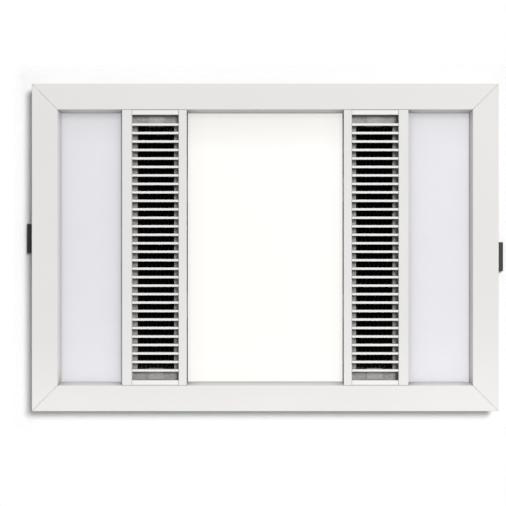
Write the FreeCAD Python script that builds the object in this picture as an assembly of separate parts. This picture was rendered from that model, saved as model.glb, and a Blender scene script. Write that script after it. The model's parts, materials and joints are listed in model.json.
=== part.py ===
"""Bathroom ceiling heater: a slatted, lit fascia below the ceiling and a sheet-steel housing above it.

Millimetres. +Z is up, z = 0 is the underside of the ceiling, and the origin is the middle of the four
ceiling screws. X runs along the fascia's long side. The duct leaves towards -Y.
"""
import FreeCAD, Part
import math
import os

V = FreeCAD.Vector
UP = V(0, 0, 1)
ALONG_X = V(1, 0, 0)
ALONG_Y = V(0, 1, 0)

# Fascia frame: four mitred members
fascia_length = 600.0
fascia_width = 421.0
fascia_depth = 14.0          # ceiling to visible face
face_width = 33.0            # flat face of a member
edge_radius = 0.8
member_wall = 2.0
lip_run = 4.2                # plan width of the sloped inner lip
lip_edge = 1.0               # upright edge above the slope
seat_depth = 6.0             # face to the seat that carries the panels
seat_width = 3.7
web_gap = 5.0                # stiffening web to the seat's back edge
web_clear = 1.0              # web to the housing flange
mitre_gap = 0.2
key_inset = 8.0              # corner keys in the hollow of the frame
key_width = 12.0
key_leg = 50.0
key_thickness = 5.0

# Rails and grilles
light_width = 202.0          # between the two inner rails
slot_width = 60.3            # between the two rails of a grille
inner_hollow = 5.4           # clear width inside an inner rail
rail_rise = 4.0              # rail above the frame's seat
rail_wall = 1.4
rail_end_gap = 0.4
rail_key_length = 34.0
rail_key_fit = 0.1
louvre_rebate = 2.0          # side bar of a louvre in its rail
louvre_step = 5.0            # face to the step that carries the louvre
louvre_gap = 0.3
slat_pitch = 10.9
slat_thickness = 2.9
slat_depth = 9.0
slat_recess = 0.5
end_bar_width = 6.4
end_window = 10.5            # open strip between end bar and first slat

# Panels and what holds them
panel_thickness = 2.0
panel_bearing = 2.5          # panel edge behind the outer rail
panel_fit = 0.3
seat_margin = 0.5            # panel or rail foot short of the seat's back edge
light_gap = 1.2              # diffuser to inner rail
clip_thickness = 1.0
clip_width = 14.0
clip_overlap = 6.5           # clip onto a panel
clip_spread = 110.0          # side clips either way of the middle
light_clip_spread = 60.0
stud_radius = 2.4
stud_key_gap = 19.0          # rail key's end to the stud's middle
stud_side_gap = 0.2          # stud to its rail's walls
stud_reach = 18.0            # stud tip above the ceiling
stud_fit = 0.3

# Housing
sheet = 1.0
housing_inset = 26.0         # fascia edge to housing wall
flange_width = 16.0
fold_width = 12.0
skirt_depth = 12.0           # roof edge turned down over the walls
ceiling_screw_spacing = 400.0
ceiling_hole_radius = 2.25
bead_width = 9.0             # pressed stiffening beads
bead_height = 1.6
bead_margin = 45.0           # bead short of the wall's end
wall_bead_height = 34.0
end_bead_height = 105.0
roof_bead_inset = 39.5       # wall to the roof's beads

# Fasteners
screw_radius = 2.0
screw_head_radius = 3.5
screw_head_height = 2.4
screw_length = 9.0
fascia_screw_radius = 1.5
fascia_screw_head_radius = 3.0
fascia_screw_head_height = 1.5
fascia_screw_length = 11.0
rivet_radius = 1.6
rivet_head_radius = 3.2
rivet_head_height = 1.2
corner_rivet_count = 3
skirt_rivet_inset = 68.0     # corner to the first rivet of the roof's edge
skirt_rivet_pitch = 96.0
hole_fit = 0.05              # hole over a screw or rivet

# Heaters
tray_height = 1.0            # ceiling to the tray's underside
tray_margin = 6.0            # tray past the outer rail
tray_gap = 2.5               # tray to the light's side
tray_fold = 12.0
opening_inset = 6.45         # grille's edge to the opening
shield_clear = 5.0           # opening edge to the heat shield's wall
shield_height = 43.0
shield_end_gap = 3.0         # rod's end to the heat shield
shield_foot = 8.0
foot_length = 20.0
foot_inset = 19.0            # shield's end to its foot's middle
vent_count = 3
vent_width = 14.0
vent_bridge = 32.0           # metal between vents
element_gap = 1.2            # element to the opening's edge, in plan
element_end_gap = 2.8        # element to its insulators
element_clear = 2.0          # element above the tray
fin_height = 14.0
fin_thickness = 1.6
fin_count = 9
fin_end_gap = 0.6            # fin's tip to the element's clip
fin_flange_gap = 0.8         # fin's tip below its insulator
element_base = 4.0
rod_radius = 3.5
rod_boss_wall = 3.0
rod_end = 2.4                # rod past its insulator
rod_fit = 0.1
clip_tab_width = 19.3
clip_tab_thickness = 1.2
clip_tab_margin = 0.4        # tab short of the end bar
clip_leg_gap = 0.4           # clip leg to the opening's end
clip_leg_margin = 2.5        # clip above its insulator
insulator_radius = 5.0
insulator_flange_radius = 7.5
insulator_flange = 3.6
insulator_neck = 5.0
cutout_radius = 8.0
cutout_height = 7.0
cutout_tab = 6.0
receiver_radius = 5.5
receiver_flange_radius = 7.0
receiver_flange = 1.5
receiver_height = 9.0

# Light
light_tray_height = 25.0
light_tray_gap = 3.5         # light tray to the heater trays
light_tray_end_gap = 5.0
light_foot_spread = 75.0
light_foot_length = 30.0
light_foot_gap = 1.15         # light tray's foot to the heat shield
board_width = 22.0
board_end_gap = 12.5
board_thickness = 1.6
board_pitch = 60.0
driver_length = 118.0
driver_width = 40.0
driver_height = 20.0
driver_ear = 10.0
driver_corner = 2.0
driver_end = 38.5            # light tray's end to the driver's ear

# Blower and duct
fan_x = -40.0
fan_y = 20.0
impeller_radius = 70.0
blade_depth = 13.0           # rim to eye
impeller_floor_gap = 8.0     # impeller to the inlet plate
impeller_roof_gap = 14.0     # impeller to the roof
impeller_plate = 2.0
blade_count = 36
blade_thickness = 1.2
blade_sweep = 11.0           # degrees from eye to rim
blade_bend = 2.75            # degrees from eye to the blade's middle
hub_radius = 12.0
hub_height = 34.0
cutoff_gap = 5.0             # impeller to the scroll at its tongue
scroll_step = 18.0           # growth of the scroll in each quarter
scroll_wall = 1.5
tongue_radius = 8.0
boss_radius = 5.0
boss_sink = 1.0              # boss into the scroll's wall
blower_gap = 8.0             # driver to the blower's inlet ring
inlet_plate = 2.0
inlet_eye_gap = 1.0          # inlet smaller than the impeller's eye
inlet_lip = 6.0
spigot_radius = 49.0
spigot_wall = 1.5
spigot_length = 40.0
spigot_margin = 0.5          # outlet wider than the spigot's bore, each side
spigot_floor_gap = 2.0       # spigot above the scroll's floor
spigot_flange = 12.0
spigot_screw_angle = 10.0    # degrees above and below level
spigot_flange_thickness = 2.5
spigot_skirt_gap = 0.5       # flange below the roof's edge
spigot_top_gap = 1.0         # pipe below the roof's edge
damper_side_gap = 4.0        # flap to the spigot's bore
damper_thickness = 1.5
damper_hinge_drop = 17.5     # hinge below the top of the bore
damper_hinge_depth = 5.5     # hinge outside the wall
damper_gap = 0.3
seat_ring = 5.5              # ledge that the flap shuts on
seat_ring_thickness = 1.0
damper_pin_radius = 1.5
knuckle_radius = 3.0
knuckle_clear = 1.2
lug_length = 4.0
lug_width = 8.0
running_fit = 0.05

# Motor
shaft_radius = 4.0
shaft_hole_radius = 12.5
grommet_radius = 7.0
grommet_height = 5.0
motor_plate_rim = 21.0       # plate past the can
motor_plate_thickness = 2.0
motor_screw_inset = 8.0      # plate's edge to a screw
motor_screw_count = 3
can_radius = 43.0
can_wall = 1.5
can_fit = 0.1
can_edge = 3.0               # rounding of the can's top edge
cap_radius = 13.0            # raised cap over the upper bush
cap_height = 3.0
cap_edge = 1.5
can_slot_count = 10
can_slot_width = 4.0
can_slot_height = 16.0
stator_height = 20.0
air_gap = 0.5
rotor_radius = 24.0
bush_radius = 9.0
bush_height = 9.0
bush_flange_radius = 12.0
bush_flange = 2.0
bush_gap = 4.0               # bush to the rotor's core

# On the roof
capacitor_length = 46.0
capacitor_width = 22.0
capacitor_height = 32.0
capacitor_ear = 11.0
capacitor_ear_thickness = 3.0
capacitor_corner = 5.5
capacitor_gap = 36.0         # blower's outlet to the capacitor's middle
capacitor_y = 60.0
terminal_length = 110.0
terminal_width = 72.0
terminal_height = 42.0
terminal_wall = 2.0
terminal_floor = 2.5
terminal_round = 4.0         # rounding of the box's upright corners
terminal_margin = 19.0       # housing wall to the terminal box
terminal_y = 70.0
cover_thickness = 3.0
cover_lip = 4.0
cover_fit = 0.3
pillar_radius = 5.0
lead_hole_radius = 8.0
block_length = 62.0
block_width = 20.0
block_height = 16.0
block_ways = 5
block_notch = 1.0            # slot between two ways
gland_thread_radius = 9.9
gland_bore_radius = 5.0
gland_hex = 24.0             # across flats
gland_hex_length = 6.0
gland_dome_radius = 11.0
gland_dome_length = 16.0
gland_dome_edge = 4.0
gland_nut_length = 5.0

# Ceiling toggles, one per short end
board_thickness_max = 15.0   # ceiling board under a toggle
toggle_width = 38.0
toggle_height = 8.0
toggle_reach = 36.5          # tip past the housing wall
toggle_offset = 11.9         # either way of the middle line
toggle_wall_gap = 0.3        # folded toggle to its bracket's rivets
toggle_side_gap = 0.4
toggle_shelf_gap = 0.3
toggle_tip_radius = 2.5
toggle_bays = 3              # hollows in a toggle's top
toggle_rib = 3.0
toggle_pin_radius = 2.0
bracket_thickness = 1.5
bracket_height = 26.0
ear_margin = 4.0             # bracket past its pin

# Levels and lines that follow from the sizes above
half_x = fascia_length / 2
half_y = fascia_width / 2
z_face = -fascia_depth
z_back = z_face + member_wall
z_seat = z_face + seat_depth
z_step = z_face + louvre_step
z_rail = z_seat + rail_rise
z_web = -sheet - web_clear
lip_inset = face_width + lip_run
seat_inset = lip_inset - seat_width
web_inner = seat_inset - web_gap
web_inset = web_inner - member_wall
inner_rail_width = louvre_rebate + inner_hollow + 2 * rail_wall
outer_rail_width = louvre_rebate + 2 * (stud_radius + stud_side_gap + rail_wall) + panel_bearing
x_light = light_width / 2
x_slot = x_light + inner_rail_width
x_rail = x_slot + slot_width
x_panel = x_rail + outer_rail_width
x_mid = x_slot + slot_width / 2
y_front = half_y - face_width - rail_end_gap
y_lip = half_y - lip_inset - rail_end_gap
y_foot = half_y - seat_inset - seat_margin
y_web = half_y - web_inner
x_web = half_x - web_inner
y_bar = y_front - end_bar_width
slat_span = 2 * (y_bar - end_window - slat_thickness / 2)
slat_count = 1 + math.floor(slat_span / slat_pitch)
opening_length = (slat_count - 1) * slat_pitch
stud_x = (x_rail + louvre_rebate + x_panel - panel_bearing) / 2
stud_y = y_lip - rail_key_length - stud_key_gap
wall_x = half_x - housing_inset
wall_y = half_y - housing_inset
opening_width = slot_width - 2 * opening_inset
z_tray = tray_height + sheet
tray_x0 = x_light + tray_gap
tray_x1 = x_panel + tray_margin
shield_half = opening_width / 2 + shield_clear
z_shield = z_tray + shield_height
z_fins = z_tray + element_clear
z_base = z_fins + fin_height
z_rod = z_base + element_base + rod_radius
z_clip = z_rod + insulator_radius + clip_leg_margin
y_leg = opening_length / 2 - clip_leg_gap
y_element = y_leg - clip_tab_thickness - insulator_flange - element_end_gap
y_fins = y_leg - clip_tab_thickness - fin_end_gap
z_fin_tip = z_rod - insulator_flange_radius - fin_flange_gap
y_rod = y_leg + insulator_neck + rod_end
y_shield = y_rod + shield_end_gap + sheet
y_foot_end = y_shield - foot_inset
vent_pitch = (2 * y_shield - vent_bridge) / vent_count
light_half = tray_x0 - light_tray_gap
light_y = wall_y - sheet - light_tray_end_gap
light_foot_reach = x_mid - shield_half - light_foot_gap - tray_x0
z_light = tray_height + light_tray_height
driver_x = board_pitch / 2
driver_y = driver_end + driver_ear + driver_length / 2 - light_y
inlet_height = z_light + driver_height + blower_gap + inlet_lip
z_scroll = inlet_height + inlet_plate
impeller_eye = impeller_radius - blade_depth
inlet_radius = impeller_eye - inlet_eye_gap
half_step = scroll_step / 2
arc_a = impeller_radius + cutoff_gap + half_step
arc_b = arc_a + scroll_step
arc_c = arc_b + scroll_step
y_outlet = -wall_y + sheet
spigot_bore = spigot_radius - spigot_wall
x_outlet1 = fan_x + half_step + arc_c
x_outlet0 = x_outlet1 - 2 * (spigot_bore + spigot_margin)
spigot_x = (x_outlet0 + x_outlet1) / 2
spigot_z = z_scroll + spigot_floor_gap + spigot_radius
housing_height = spigot_z + spigot_radius + spigot_top_gap + skirt_depth
z_roof = housing_height - sheet
damper_radius = spigot_bore - damper_side_gap
damper_hinge_height = spigot_bore - damper_hinge_drop
y_hinge = -wall_y - damper_hinge_depth
z_hinge = spigot_z + damper_hinge_height
knuckle_half = math.sqrt(spigot_bore ** 2 - damper_hinge_height ** 2) - lug_length
z_impeller0 = z_scroll + impeller_floor_gap
z_impeller1 = z_roof - impeller_roof_gap
z_plate = housing_height + grommet_height
z_can = z_plate + motor_plate_thickness
z_stator = z_plate + bush_height + bush_gap
z_can_top = z_stator + stator_height + bush_gap + bush_height + can_wall
motor_plate_radius = can_radius + motor_plate_rim
motor_screw_circle = motor_plate_radius - motor_screw_inset
capacitor_x = x_outlet1 + capacitor_gap
terminal_x = terminal_margin + terminal_length / 2 - wall_x
terminal_inner_y = terminal_width / 2 - terminal_wall
lead_y = terminal_y - (block_width / 2 + terminal_inner_y) / 2
z_terminal = housing_height + terminal_height
gland_z = housing_height + terminal_height / 2
toggle_x = wall_x + bracket_thickness + rivet_head_height + toggle_wall_gap + toggle_height / 2
toggle_z = board_thickness_max + toggle_height / 2
toggle_tip = wall_x + toggle_reach
ear_gap = toggle_width / 2 + toggle_side_gap
bracket_top = board_thickness_max + bracket_height
ENDS = (-1, 1)
# name, inner edge, outer edge, side that faces the grille, width that carries a panel
RAILS = (
    ("inner", x_light, x_slot, 1, 0.0),
    ("outer", x_rail, x_panel, -1, panel_bearing),
)


def block(x0, x1, y0, y1, z0, z1):
    """Rectangular block between two corners, given in any order."""
    low = V(min(x0, x1), min(y0, y1), min(z0, z1))
    return Part.makeBox(abs(x1 - x0), abs(y1 - y0), abs(z1 - z0), low)


def slab(x, y, half_length, half_width, z0, z1):
    """Rectangular block about a middle point in plan."""
    return block(x - half_length, x + half_length, y - half_width, y + half_width, z0, z1)


def rounded_slab(x, y, half_length, half_width, z0, z1, corner):
    """Block about a middle point in plan, with its upright corners rounded."""
    stock = slab(x, y, half_length, half_width, z0, z1)
    upright = [edge for edge in stock.Edges if edge.BoundBox.ZLength > (z1 - z0) / 2]
    return stock.makeFillet(corner, upright)


def rounded_rod(radius, start, axis, length, edge_radius):
    """Round bar whose far end has a rounded edge."""
    bar = rod(radius, start, axis, length)
    tip = start + axis * length
    far = [edge for edge in bar.Edges if edge.CenterOfMass.distanceToPoint(tip) < radius / 2]
    return bar.makeFillet(edge_radius, far)


def rod(radius, start, axis, length):
    """Round bar from a point along an axis."""
    return Part.makeCylinder(radius, length, start, axis)


def tube(outer, inner, start, axis, length):
    """Round bar with a bore right through it."""
    return rod(outer, start, axis, length).cut(rod(inner, start, axis, length))


def prism(points, direction):
    """Flat outline with straight sides, drawn out along a direction."""
    outline = Part.makePolygon(points + points[:1])
    return Part.Face(outline).extrude(direction)


def join(first, others):
    """One solid from pieces that meet."""
    return first.multiFuse(others).removeSplitter()


def mirrored(shape):
    """Left-hand copy of a right-hand piece."""
    return shape.mirror(V(0, 0, 0), ALONG_X)


def half_turn(shape):
    """Copy turned half a turn about the middle of the unit."""
    turned = shape.copy()
    turned.rotate(V(0, 0, 0), UP, 180)
    return turned


def quarter(centre, radius, degrees):
    """Arc of a quarter turn in plan, clockwise from an angle."""
    points = []
    for step in (0, 45, 90):
        angle = math.radians(degrees - step)
        points.append(centre + V(radius * math.cos(angle), radius * math.sin(angle), 0))
    return Part.Arc(*points).toShape()


def save(node, solids):
    """Write a node's solids to its own file."""
    shape = solids[0] if len(solids) == 1 else Part.makeCompound(solids)
    shape.exportStep("parts/" + node + ".step")


def screw(seat, inwards):
    """Pan-head screw: head outside its seat, shank inwards."""
    outwards = inwards * -1
    head = rod(screw_head_radius, seat, outwards, screw_head_height)
    return join(head, [rod(screw_radius, seat, inwards, screw_length)])


def screw_hole(seat, inwards, depth):
    """What a screw's hole takes away behind its seat."""
    return rod(screw_radius + hole_fit, seat, inwards, depth)


def rivet(seat, inwards, grip=2 * sheet):
    """Rivet through two sheets, with a wide head outside and a set head inside."""
    head = rod(rivet_head_radius, seat, inwards * -1, rivet_head_height)
    shank = rod(rivet_radius, seat, inwards, grip + rivet_head_height)
    set_head = rod(rivet_head_radius, seat + inwards * grip, inwards, rivet_head_height)
    return join(head, [shank, set_head])


def rivet_hole(seat, inwards, grip=2 * sheet):
    """What a rivet's hole takes away from both sheets."""
    return rod(rivet_radius + hole_fit, seat, inwards, grip)


def bead(start, along, length, outwards):
    """Pressed stiffening bead on the outside of a sheet, from a point on its face."""
    radius = (bead_width ** 2 / 4 + bead_height ** 2) / (2 * bead_height)
    bar = rod(radius, start - outwards * (radius - bead_height), along, length)
    across = along.cross(outwards) * (bead_width / 2)
    end = start + along * length
    strip = prism([start - across, start + across, end + across, end - across], outwards * bead_height)
    return bar.common(strip)


def member_section(x):
    """Frame section at one end of a member: u runs inwards from the outer edge, as +Y."""
    slope = lip_run / (seat_depth - lip_edge)
    lip_back = seat_inset - slope * (seat_depth - member_wall)
    bend = V(x, edge_radius * (1 - math.sqrt(0.5)), z_face + edge_radius * (1 - math.sqrt(0.5)))
    start = V(x, 0, z_face + edge_radius)
    end = V(x, edge_radius, z_face)
    corners = [
        end,
        V(x, face_width, z_face),
        V(x, lip_inset, z_seat - lip_edge),
        V(x, lip_inset, z_seat),
        V(x, seat_inset, z_seat),
        V(x, lip_back, z_back),
        V(x, web_inner, z_back),
        V(x, web_inner, z_web),
        V(x, web_inset, z_web),
        V(x, web_inset, z_back),
        V(x, member_wall, z_back),
        V(x, member_wall, 0),
        V(x, 0, 0),
        start,
    ]
    edges = [Part.Arc(start, bend, end).toShape()]
    edges += [Part.makeLine(a, b) for a, b in zip(corners, corners[1:])]
    return Part.Face(Part.Wire(edges))


def frame_member(length, turn, out, key_screw_places):
    """One mitred member, made along X with its outer edge at y = 0, then turned and set in place."""
    bar = member_section(-length / 2).extrude(V(length, 0, 0))
    end = length / 2 - mitre_gap * math.sqrt(0.5)
    plan = [
        V(-end, 0, z_face),
        V(end, 0, z_face),
        V(end - lip_inset, lip_inset, z_face),
        V(-end + lip_inset, lip_inset, z_face),
    ]
    member = bar.common(prism(plan, V(0, 0, fascia_depth)))
    for x in key_screw_places:
        seat = V(x, web_inset, (z_seat + z_rail) / 2)
        member = member.cut(rod(fascia_screw_radius + hole_fit, seat, ALONG_Y, member_wall))
    member.rotate(V(0, 0, 0), UP, turn)
    member.translate(out)
    return member


def corner_key(sx, sy):
    """L-shaped key in the hollow of two members at one corner."""
    near = key_inset
    far = key_inset + key_width
    tip = key_inset + key_leg
    plan = [(near, near), (tip, near), (tip, far), (far, far), (far, tip), (near, tip)]
    points = [V(sx * (half_x - u), sy * (half_y - v), z_back) for u, v in plan]
    return prism(points, V(0, 0, key_thickness))


def end_profile(x, top):
    """Side outline of what spans the fascia: cut to the sloped lip, with feet on its seat."""
    half = [
        (y_front, z_face),
        (y_lip, z_seat - lip_edge),
        (y_lip, z_seat),
        (y_foot, z_seat),
        (y_foot, top),
    ]
    right = [V(x, y, z) for y, z in half]
    left = [V(x, -y, z) for y, z in reversed(half)]
    return right + left


def channel_span(x0, x1, slot_side, bearing):
    """Clear width of a rail's hollow: its slot wall carries the louvre, its other wall the panel."""
    slot_wall = louvre_rebate + rail_wall
    other_wall = bearing + rail_wall
    if slot_side > 0:
        return x0 + other_wall, x1 - slot_wall
    return x0 + slot_wall, x1 - other_wall


def rail(x0, x1, slot_side, bearing):
    """Right-hand rail: a channel with a rebate for the louvre and one for the panel, if it has one."""
    body = prism(end_profile(x0, z_rail), V(x1 - x0, 0, 0))
    c0, c1 = channel_span(x0, x1, slot_side, bearing)
    cuts = [block(c0, c1, -half_y, half_y, z_back, z_rail)]
    slot_edge = x1 if slot_side > 0 else x0
    cuts.append(block(slot_edge - slot_side * louvre_rebate, slot_edge, -half_y, half_y, z_step, z_rail))
    if bearing > 0:
        panel_edge = x0 if slot_side > 0 else x1
        cuts.append(block(panel_edge + slot_side * bearing, panel_edge, -half_y, half_y, z_seat, z_rail))
    for cut in cuts:
        body = body.cut(cut)
    return body


def rail_key_middles():
    """Middle of each right-hand rail's hollow."""
    return [sum(channel_span(*size)) / 2 for _, *size in RAILS]


def rail_key(size, end):
    """Key in a rail's hollow, with a tongue over the lip to the frame's web."""
    c0, c1 = channel_span(*size)
    c0 += rail_key_fit
    c1 -= rail_key_fit
    stock = block(c0, c1, end * (y_lip - rail_key_length), end * y_lip, z_back, z_rail)
    tongue = block(c0, c1, end * (y_lip - rail_key_length), end * y_web, z_seat, z_rail)
    seat = V((c0 + c1) / 2, end * y_web, (z_seat + z_rail) / 2)
    hole = rod(fascia_screw_radius + hole_fit, seat, V(0, -end, 0), fascia_screw_length)
    return join(stock, [tongue]).cut(hole)


def key_screw(x, end):
    """Screw from the frame's hollow through its web into a rail key."""
    seat = V(x, end * (half_y - web_inset), (z_seat + z_rail) / 2)
    head = rod(fascia_screw_head_radius, seat, V(0, end, 0), fascia_screw_head_height)
    return join(head, [rod(fascia_screw_radius, seat, V(0, -end, 0), fascia_screw_length)])


def louvre():
    """Right-hand grille: slats and end bars between the rails, side bars in the rails' rebates."""
    x0 = x_slot + louvre_gap
    x1 = x_rail - louvre_gap
    z0 = z_face + slat_recess
    z1 = z0 + slat_depth
    pieces = []
    for n in range(slat_count):
        y = (n - (slat_count - 1) / 2) * slat_pitch
        pieces.append(block(x0, x1, y - slat_thickness / 2, y + slat_thickness / 2, z0, z1))
    span = prism(end_profile(x0, z1), V(x1 - x0, 0, 0))
    for end in ENDS:
        pieces.append(span.common(block(x0, x1, end * y_bar, end * half_y, z0, z1)))
    rebate = louvre_rebate - louvre_gap
    pieces.append(block(x_slot - rebate, x0, -y_lip, y_lip, z_step, z1))
    pieces.append(block(x1, x_rail + rebate, -y_lip, y_lip, z_step, z1))
    return join(pieces[0], pieces[1:])


def side_panel():
    """Right-hand plain panel, on the frame's seat and behind the outer rail."""
    x0 = x_panel - panel_bearing + panel_fit
    x1 = half_x - seat_inset - seat_margin
    return block(x0, x1, -y_foot, y_foot, z_seat, z_seat + panel_thickness)


def light_diffuser():
    """Lit centre panel on the frame's seat."""
    half = x_light - light_gap
    return block(-half, half, -y_foot, y_foot, z_seat, z_seat + panel_thickness)


def panel_clip(turn, web, along):
    """Bent strip from the frame's web onto the back of a panel, made towards +X and turned."""
    z0 = z_seat + panel_thickness
    y0 = along - clip_width / 2
    y1 = along + clip_width / 2
    reach = seat_inset + seat_margin - web_inner + clip_overlap
    foot = block(web - reach, web, y0, y1, z0, z0 + clip_thickness)
    leg = block(web - clip_thickness, web, y0, y1, z0, z_web)
    clip = join(foot, [leg])
    clip.rotate(V(0, 0, 0), UP, turn)
    return clip


def panel_clips():
    """Clips for both side panels and for the diffuser."""
    clips = []
    for turn in (0, 180):
        for along in (-clip_spread, 0, clip_spread):
            clips.append(panel_clip(turn, x_web, along))
    for turn in (90, 270):
        for along in (-light_clip_spread, light_clip_spread):
            clips.append(panel_clip(turn, y_web, along))
    return clips


def fascia_stud(sx, sy):
    """Stud on the floor of an outer rail, with a coned tip."""
    foot = V(sx * stud_x, sy * stud_y, z_back)
    length = stud_reach - z_back - stud_radius
    shank = rod(stud_radius, foot, UP, length)
    tip = Part.makeCone(stud_radius, stud_radius / 2, stud_radius, foot + UP * length)
    return join(shank, [tip])


def corner_rivet_seats():
    """Seats of the rivets that close the housing's corners, with their inward directions."""
    seats = []
    for sx in ENDS:
        for sy in ENDS:
            for n in range(corner_rivet_count):
                x = sx * (wall_x - sheet - fold_width / 2)
                z = z_roof * (n + 0.5) / corner_rivet_count
                seats.append((V(x, sy * wall_y, z), V(0, -sy, 0)))
    return seats


def skirt_rivet_seats():
    """Seats of the rivets through the roof's turned-down edge."""
    z = housing_height - skirt_depth / 2
    x_first = wall_x - skirt_rivet_inset
    y_first = wall_y - skirt_rivet_inset
    seats = []
    for x in (-x_first, skirt_rivet_pitch - x_first, x_first - skirt_rivet_pitch, x_first):
        for sy in ENDS:
            seats.append((V(x, sy * (wall_y + sheet), z), V(0, -sy, 0)))
    for y in (-y_first, 0, y_first):
        for sx in ENDS:
            seats.append((V(sx * (wall_x + sheet), y, z), V(-sx, 0, 0)))
    return seats


def tray_screw_seats():
    """Seats outside the long walls of the screws that carry the heater trays."""
    z = z_tray + tray_fold / 2
    seats = []
    for sx in ENDS:
        for x in (tray_x0 + tray_fold, tray_x1 - tray_fold):
            for sy in ENDS:
                seats.append((V(sx * x, sy * wall_y, z), V(0, -sy, 0)))
    return seats


def spigot_screw_seats():
    """Seats of the screws through the spigot's flange."""
    circle = spigot_radius + spigot_flange / 2
    angle = math.radians(spigot_screw_angle)
    y = -wall_y - spigot_flange_thickness
    seats = []
    for sx in ENDS:
        for sz in ENDS:
            x = spigot_x + sx * circle * math.cos(angle)
            z = spigot_z + sz * circle * math.sin(angle)
            seats.append((V(x, y, z), ALONG_Y))
    return seats


def motor_screw_seats():
    """Seats of the screws through the motor's plate, grommets and the roof."""
    seats = []
    for n in range(motor_screw_count):
        angle = 2 * math.pi * n / motor_screw_count
        x = fan_x + motor_screw_circle * math.cos(angle)
        y = fan_y + motor_screw_circle * math.sin(angle)
        seats.append((V(x, y, z_can), UP * -1))
    return seats


def boss_places():
    """Screw bosses outside the scroll's wall, in plan."""
    out = scroll_wall + boss_radius - boss_sink
    return [
        (fan_x - half_step - arc_a - out, fan_y + half_step),
        (fan_x + half_step, fan_y + half_step + arc_b + out),
        (x_outlet1 + out, fan_y - half_step),
        (x_outlet1 + out, (fan_y + y_outlet) / 2),
    ]


def scroll_screw_seats():
    """Seats of the screws through the roof into the scroll's bosses, and through the inlet plate."""
    seats = []
    for x, y in boss_places():
        seats.append((V(x, y, housing_height), UP * -1))
        seats.append((V(x, y, inlet_height), UP))
    return seats


def terminal_corner(sx, sy, z):
    """Middle of a pillar or screw in one corner of the terminal box."""
    inset = terminal_wall + pillar_radius
    x = terminal_length / 2 - inset
    y = terminal_width / 2 - inset
    return V(terminal_x + sx * x, terminal_y + sy * y, z)


def cover_screw_seats():
    """Seats of the two screws of the terminal box's cover."""
    return [(terminal_corner(s, s, z_terminal + cover_thickness), UP * -1) for s in ENDS]


def terminal_screw_seats():
    """Seats of the two screws that hold the terminal box to the roof."""
    return [(terminal_corner(s, -s, housing_height + terminal_floor), UP * -1) for s in ENDS]


def ear_screw_seats(x, y, length, ear, thickness, base):
    """Seats of two screws through the ears of a box on a flat base."""
    reach = (length + ear) / 2
    return [(V(x, y + s * reach, base + thickness), UP * -1) for s in ENDS]


def capacitor_screw_seats():
    """Seats of the capacitor's two screws."""
    return ear_screw_seats(
        capacitor_x, capacitor_y, capacitor_length, capacitor_ear, capacitor_ear_thickness, housing_height
    )


def driver_screw_seats():
    """Seats of the driver's two screws."""
    return ear_screw_seats(driver_x, driver_y, driver_length, driver_ear, sheet, z_light)


def cut_holes(shape, holes):
    """Take a list of holes out of a shape."""
    for hole in holes:
        shape = shape.cut(hole)
    return shape


def wall_holes():
    """Every fastener hole that meets the walls."""
    holes = [rivet_hole(*seat) for seat in corner_rivet_seats() + skirt_rivet_seats()]
    holes += [screw_hole(*seat, screw_length) for seat in tray_screw_seats() + spigot_screw_seats()]
    return holes


def long_wall(side):
    """Long wall with its ceiling flange. The rear one lets the duct out."""
    y0 = side * wall_y
    plate = block(-wall_x, wall_x, y0 - side * sheet, y0, -sheet, z_roof)
    flange = block(-wall_x, wall_x, y0, y0 + side * flange_width, -sheet, 0)
    start = V(bead_margin - wall_x, y0, wall_bead_height)
    stiffener = bead(start, ALONG_X, 2 * (wall_x - bead_margin), ALONG_Y * side)
    wall = join(plate, [flange, stiffener])
    holes = wall_holes()
    for sx in ENDS:
        place = V(sx * ceiling_screw_spacing / 2, y0 + side * flange_width / 2, -sheet)
        holes.append(rod(ceiling_hole_radius, place, UP, sheet))
    if side < 0:
        holes.append(rod(spigot_bore, V(spigot_x, y0, spigot_z), ALONG_Y, sheet))
    return cut_holes(wall, holes)


def end_wall():
    """Right-hand end wall, with its ceiling flange and the folds that meet the long walls."""
    y1 = wall_y - sheet
    plate = block(wall_x - sheet, wall_x, -y1, y1, -sheet, z_roof)
    flange = block(wall_x, wall_x + flange_width, -y1, y1, -sheet, 0)
    x1 = wall_x - sheet
    folds = [block(x1 - fold_width, x1, end * (y1 - sheet), end * y1, 0, z_roof) for end in ENDS]
    start = V(wall_x, bead_margin - wall_y, end_bead_height)
    stiffener = bead(start, ALONG_Y, 2 * (wall_y - bead_margin), ALONG_X)
    holes = wall_holes() + [rivet_hole(*seat) for seat in bracket_rivet_seats()]
    return cut_holes(join(plate, [flange, stiffener] + folds), holes)


def roof():
    """Flat roof with its edge turned down over the walls."""
    x1 = wall_x + sheet
    y1 = wall_y + sheet
    shell = block(-x1, x1, -y1, y1, housing_height - skirt_depth, housing_height)
    shell = shell.cut(block(-wall_x, wall_x, -wall_y, wall_y, 0, z_roof))
    stiffeners = []
    for s in ENDS:
        start = V(bead_margin - wall_x, s * (wall_y - roof_bead_inset), housing_height)
        stiffeners.append(bead(start, ALONG_X, 2 * (wall_x - bead_margin), UP))
    shell = join(shell, stiffeners)
    holes = [rivet_hole(*seat) for seat in skirt_rivet_seats()]
    holes.append(rod(shaft_hole_radius, V(fan_x, fan_y, z_roof), UP, sheet))
    holes.append(rod(lead_hole_radius, V(terminal_x, lead_y, z_roof), UP, sheet))
    seats = motor_screw_seats() + scroll_screw_seats() + capacitor_screw_seats() + terminal_screw_seats()
    for seat, _ in seats:
        holes.append(rod(screw_radius + hole_fit, V(seat.x, seat.y, z_roof), UP, sheet))
    return cut_holes(shell, holes)


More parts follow.
